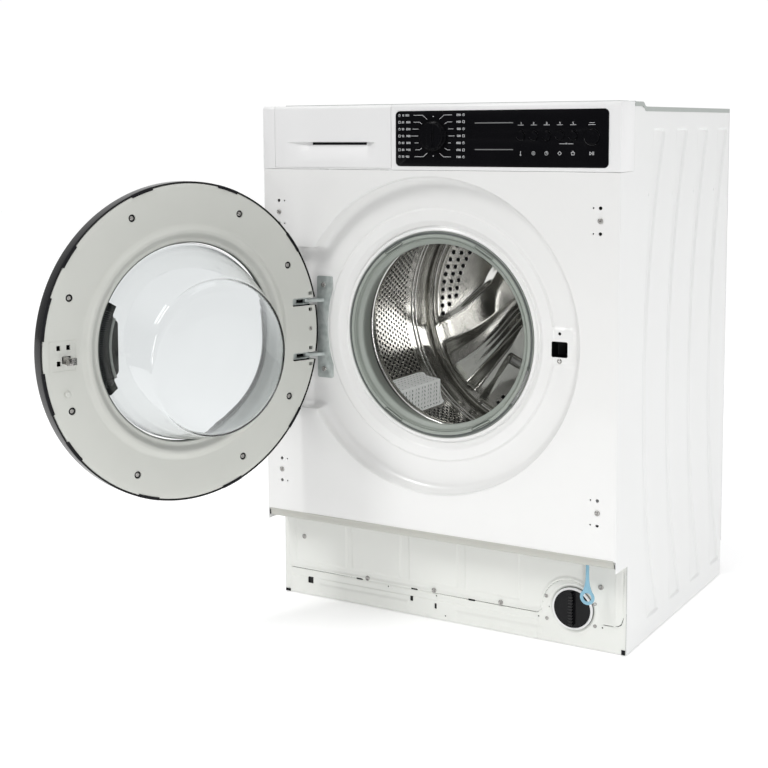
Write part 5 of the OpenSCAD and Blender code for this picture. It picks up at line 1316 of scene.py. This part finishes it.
# The slots' raised edges take the dark grey: painted shade along the moulded slots.
slots = merged([slot_tube(middle) for middle in (59, 120.5, 239, 299)])
fits(mesh_from("gasket_slots", slots, SHADE_AND_SEAL_DARK), "cabinet", slot="gasket_rubber")
fits(mesh_from("clamp_spring", coil(323, 344), TURNED_STEEL), "cabinet", slot="clamp_steel")
hook_ends = [polar(155, 0, radians(a)) for a in (321.5, 345.5)]
hooks = discs([(x, z, 1.9) for x, _, z in hook_ends], 24.6, 28, 16)
fits(mesh_from("spring_hooks", hooks, SHADE_AND_SEAL_DARK), "cabinet", slot="clamp_steel")

# %% [markdown]
# The drum is rolled stainless sheet. Two beads stiffen its wall, and thousands of small punched holes with
# raised rims cover the rest. Each hole is one copy of a rim and of a dark disc of painted shade, placed by the
# seating tree on a staggered grid.

# %% Drum wall and mouth
DRUM_R = 224


def bead_line(radius, y):
    """One rolled bead in the drum's wall."""
    return [(radius + 2.5 * sin(radians(a)), y - 4 * cos(radians(a))) for a in range(0, 181, 20)]


wall_line = [(DRUM_R, 96)] + bead_line(DRUM_R, 347.4) + bead_line(DRUM_R, 359.4) \
    + [(DRUM_R, 429.7), (225, 429.7)] + bead_line(225, 359.4)[::-1] + bead_line(225, 347.4)[::-1] + [(225, 96)]
drum_wall = crisp(mesh_from("drum_wall", turned(wall_line, 240), DRUM_STEEL), 50)
fits(drum_wall, "drum", "drum_wrapper", slot="drum_steel")
mouth_line = [(150, 95), (150, 89)] + arc_points((153, 89), 3, 180, 270, 5) \
    + [(162, 86), (204, 88), (220, 91), (224, 95.7), (225, 95.7), (221, 90), (204, 87), (162, 85),
       (152.6, 85)] + arc_points((152.6, 88.6), 3.6, 270, 180, 5) + [(149, 95)]
mouth = crisp(mesh_from("drum_mouth", turned(mouth_line, 200), DRUM_STEEL), 50)
fits(mouth, "drum", "drum_front", slot="drum_steel")

# %% Punched holes
LIFTER_ANGLES = (-140, -20, 100)
UNDER_LIFTER = 9.4


def wall_holes(pitch=9.4, first=101.0, last=326.0, radius=223.9):
    """Places and inward directions of the punched holes, left out under the lifters."""
    places, facings = [], []
    count = round(tau * DRUM_R / pitch)
    for row in range(int((last - first) / (pitch * 0.87)) + 1):
        y = first + row * pitch * 0.87
        for k in range(count):
            a = tau * (k + 0.5 * (row % 2)) / count
            off = min(abs((degrees(a) - l + 180) % 360 - 180) for l in LIFTER_ANGLES)
            if off > UNDER_LIFTER or not 104 < y < 336:
                places.append(polar(radius, y, a))
                facings.append((-cos(a), 0, -sin(a)))
    return places, facings


places, facings = wall_holes()
rim = standing("rim", rim_shape([(3.9, -0.04), (3.1, 0.2), (2.4, 0.07)], 8), DRUM_STEEL)
# The dark discs are painted shade inside the punched holes.
pit = standing("pit", disc_shape(2.5, 8, 0.1), SHADE_AND_CLIP_BLACK)
fits(seated("punched_rims", rim, places, facings, DRUM_STEEL), "drum", slot="drum_steel")
fits(seated("punched_holes", pit, places, facings, SHADE_AND_CLIP_BLACK), "drum", slot="drum_steel")
print("punched holes:", len(places))


# %% [markdown]
# The drum's back is a deep pressing: three broad arms curve out from the hub,
# and between them lie flat fields with rows of round holes and a groove. A
# polar grid whose depth follows a rule gives the soft flanks that steel takes.

# %% Drum back
ARM_FIRST = 204


def arm_height(radius, angle):
    """Height of the three swept arms at a point of the back."""
    lead = -32 * exp(-(radius - 57.6) / 30)
    phase = (angle - ARM_FIRST + 60) % 120 - 60
    if phase < lead - 20:
        phase += 120
    rise = ease(phase, lead - 3.5, lead + 5) * (1 - ease(phase, 21, 28))
    t = min(1.0, max(0.0, (phase - lead) / (25.5 - lead)))
    crown = 0.72 + 0.28 * sin(pi * t) - 0.10 * exp(-((t - 0.62) / 0.12) ** 2)
    return 15 * rise * crown * (1 - ease(radius, 199, 211))


def field_height(radius, angle):
    """Height of the flat fields that carry the holes."""
    phase = (angle - 194) % 120 - 120
    edge = -20 * exp(-(radius - 127.4) / 38)
    inside = 1 - ease(phase, edge - 4, edge + 1)
    return 4.5 * inside * ease(phase, -80, -74) * ease(radius, 100, 118) * (1 - ease(radius, 202, 209))


def groove_depth(radius, angle):
    """Depth of the round-ended groove outside the holes."""
    phase = (angle - 193) % 120 - 120
    beyond = max(0.0, -phase - 76, phase + 2)
    away = hypot(radius - 212, radians(beyond) * 212)
    return 3.0 * (1 - ease(away, 1.0, 4.6)) - 0.9 * exp(-((away - 5.5) / 1.6) ** 2)


def back_depth(radius, angle):
    """Depth of the drum's back at a polar place."""
    dome = 10 * (1 - ease(radius, 30, 92))
    flange = 9 * ease(radius, 214.5, 223)
    raised = max(arm_height(radius, angle), dome)
    return 407.6 + flange - raised - field_height(radius, angle) + groove_depth(radius, angle)


def drum_back(steps=480):
    """The back, ring by ring, with a closed hub."""
    radii = [2.0] + [2 + 214 * (k / 84) for k in range(1, 85)] + [217, 218, 219.5, 221, 222.5, 223.95]
    angles = [tau * k / steps for k in range(steps)]
    points = [polar(r, back_depth(r, degrees(a)), a) for r in radii for a in angles]
    return points, grid_faces(len(radii), steps, True) + [tuple(range(steps))]


def field_holes():
    """Places of the round holes, in three bands of each field."""
    bands = ((191.7, 186.4, 4.33, 15), (177.6, 181.2, 4.52, 13), (164.2, 175.5, 4.9, 10))
    spots = [(radius, radians(last - step * i + 120 * k))
             for k in range(3) for radius, last, step, count in bands for i in range(count)]
    return [polar(radius, back_depth(radius, degrees(a)) - 0.05, a) for radius, a in spots]


back = facing(mesh_from("drum_back_pressed", drum_back(), BACK_STEEL), OUTWARD)
fits(back, "drum", "drum_back", slot="drum_steel")
places = field_holes()
dish = standing("dish", rim_shape([(5.4, -0.05), (4.7, 0.5), (3.9, 0.2), (3.5, -0.3)], 20), BACK_STEEL)
# Painted shade: a dark disc in each of the back's round holes.
deep = standing("deep", disc_shape(3.7, 20, 0.06), SHADE_AND_CLIP_BLACK)
fits(seated("field_rims", dish, places, [OUTWARD] * len(places), BACK_STEEL), "drum", slot="drum_steel")
fits(seated("field_holes", deep, places, [OUTWARD] * len(places), SHADE_AND_CLIP_BLACK), "drum", slot="drum_steel")


# %% [markdown]
# Three hollow lifters turn the laundry over. Their white plastic lets the suds
# through rows of slots. A lofted skin carries them, with a waved crest.

# %% Lifters
def lifter_skin(angle, u, v):
    """Point of a lifter's skin: u along the drum from 0 to 1, v across from -1 to 1."""
    rise = sin(pi / 2 * max(0.0, min(1.0, u / 0.10, (1 - u) / 0.10))) ** 0.8
    profile = 1 - abs(v) ** 1.15
    height = (32 - 1.2 * (1 - cos(tau * 10 * u)) / 2) * (0.10 + 0.90 * rise) * profile
    side = (34 - 3 * (1 - rise)) * v * (1 - 0.12 * profile)
    r = sqrt(max(0.0, 223.4 ** 2 - side * side)) - height
    c, s = cos(radians(angle)), sin(radians(angle))
    return Vector((r * c - side * s, 110 + 220 * u, AXIS_Z + r * s + side * c))


def lifter(angle, rows=67, columns=31):
    """The skin of one lifter."""
    points = [tuple(lifter_skin(angle, i / (rows - 1), -1 + 2 * j / (columns - 1)))
              for i in range(rows) for j in range(columns)]
    return points, grid_faces(rows, columns)


def lifter_slots():
    """Places and directions of the slots on both flanks of the lifters."""
    places, facings = [], []
    for angle in LIFTER_ANGLES:
        middle = Vector(polar(223, 0, radians(angle)))
        for v in (-0.9, -0.75, -0.6, -0.45, -0.3, -0.14, 0.14, 0.3, 0.45, 0.6, 0.75, 0.9):
            for k in range(17):
                u = 0.11 + 0.049 * k + (0.012 if v > 0 else 0)
                here = lifter_skin(angle, u, v)
                along, across = lifter_skin(angle, u + 0.01, v) - here, lifter_skin(angle, u, v + 0.01) - here
                out = along.cross(across).normalized()
                if out.dot(Vector((here.x, 0, here.z)) - middle) < 0:
                    out = -out
                places.append(tuple(here + out * 0.12))
                facings.append(tuple(out))
    return places, facings


# The lifters' finish glows a little: painted light inside the dark drum.
lifters = thickened(mesh_from("lifter_skins", merged([lifter(a) for a in LIFTER_ANGLES]), LIFTER_WHITE_PAINTED_GLOW), 1.2)
fits(crisp(lifters, 60), "drum", "drum_lifters", slot="lifter_plastic")
# Painted shade: the slots are grey patches on the lifters' flanks.
slit_line = ((-1, -0.6), (-0.5, -1), (0.5, -1), (1, -0.6), (1, 0.6), (0.5, 1), (-0.5, 1), (-1, 0.6))
slit = standing("slit", ([(x * 1.3, y * 2.5, 0) for x, y in slit_line], [tuple(range(8))]), SHADE_AND_CLIP_BLACK)
places, facings = lifter_slots()
fits(seated("lifter_slots", slit, places, facings, SLOT_SHADE_GREY), "drum", slot="lifter_plastic")

# %% Carried-over nodes get their finishes
KEPT = [
    (ZINC_SHEET, "rear_access_cover"), (TUB_GREY, "tub_front tub_rear"), (BELT_RUBBER, "drive_belt"),
    (IRON_GREY, "counterweight_top counterweight_front"), (CAST_ALLOY, "drum_spider drum_pulley motor"),
    (TURNED_STEEL, "drum_shaft motor_pulley drum_bearings damper_rods heater"), (BLACK_GLOSS, "filter_cap"),
    (BLACK_SATIN, "suspension_springs damper_cylinders drain_outlet"),
    (WHITE_MOULDING, "pump_housing inlet_valve"),
    (FOOT_RUBBER, "foot_front_left foot_front_right foot_rear_left foot_rear_right"),
]
for paint, names in KEPT:
    for node in names.split():
        materials = frame["nodes"][node].data.materials
        materials.clear()
        materials.append(paint)
print("carried over:", sum(len(names.split()) for _, names in KEPT), "nodes")

# %% Remove the templates
for spare in [o for o in bpy.data.objects if o.name.startswith("template_")]:
    bpy.data.objects.remove(spare)
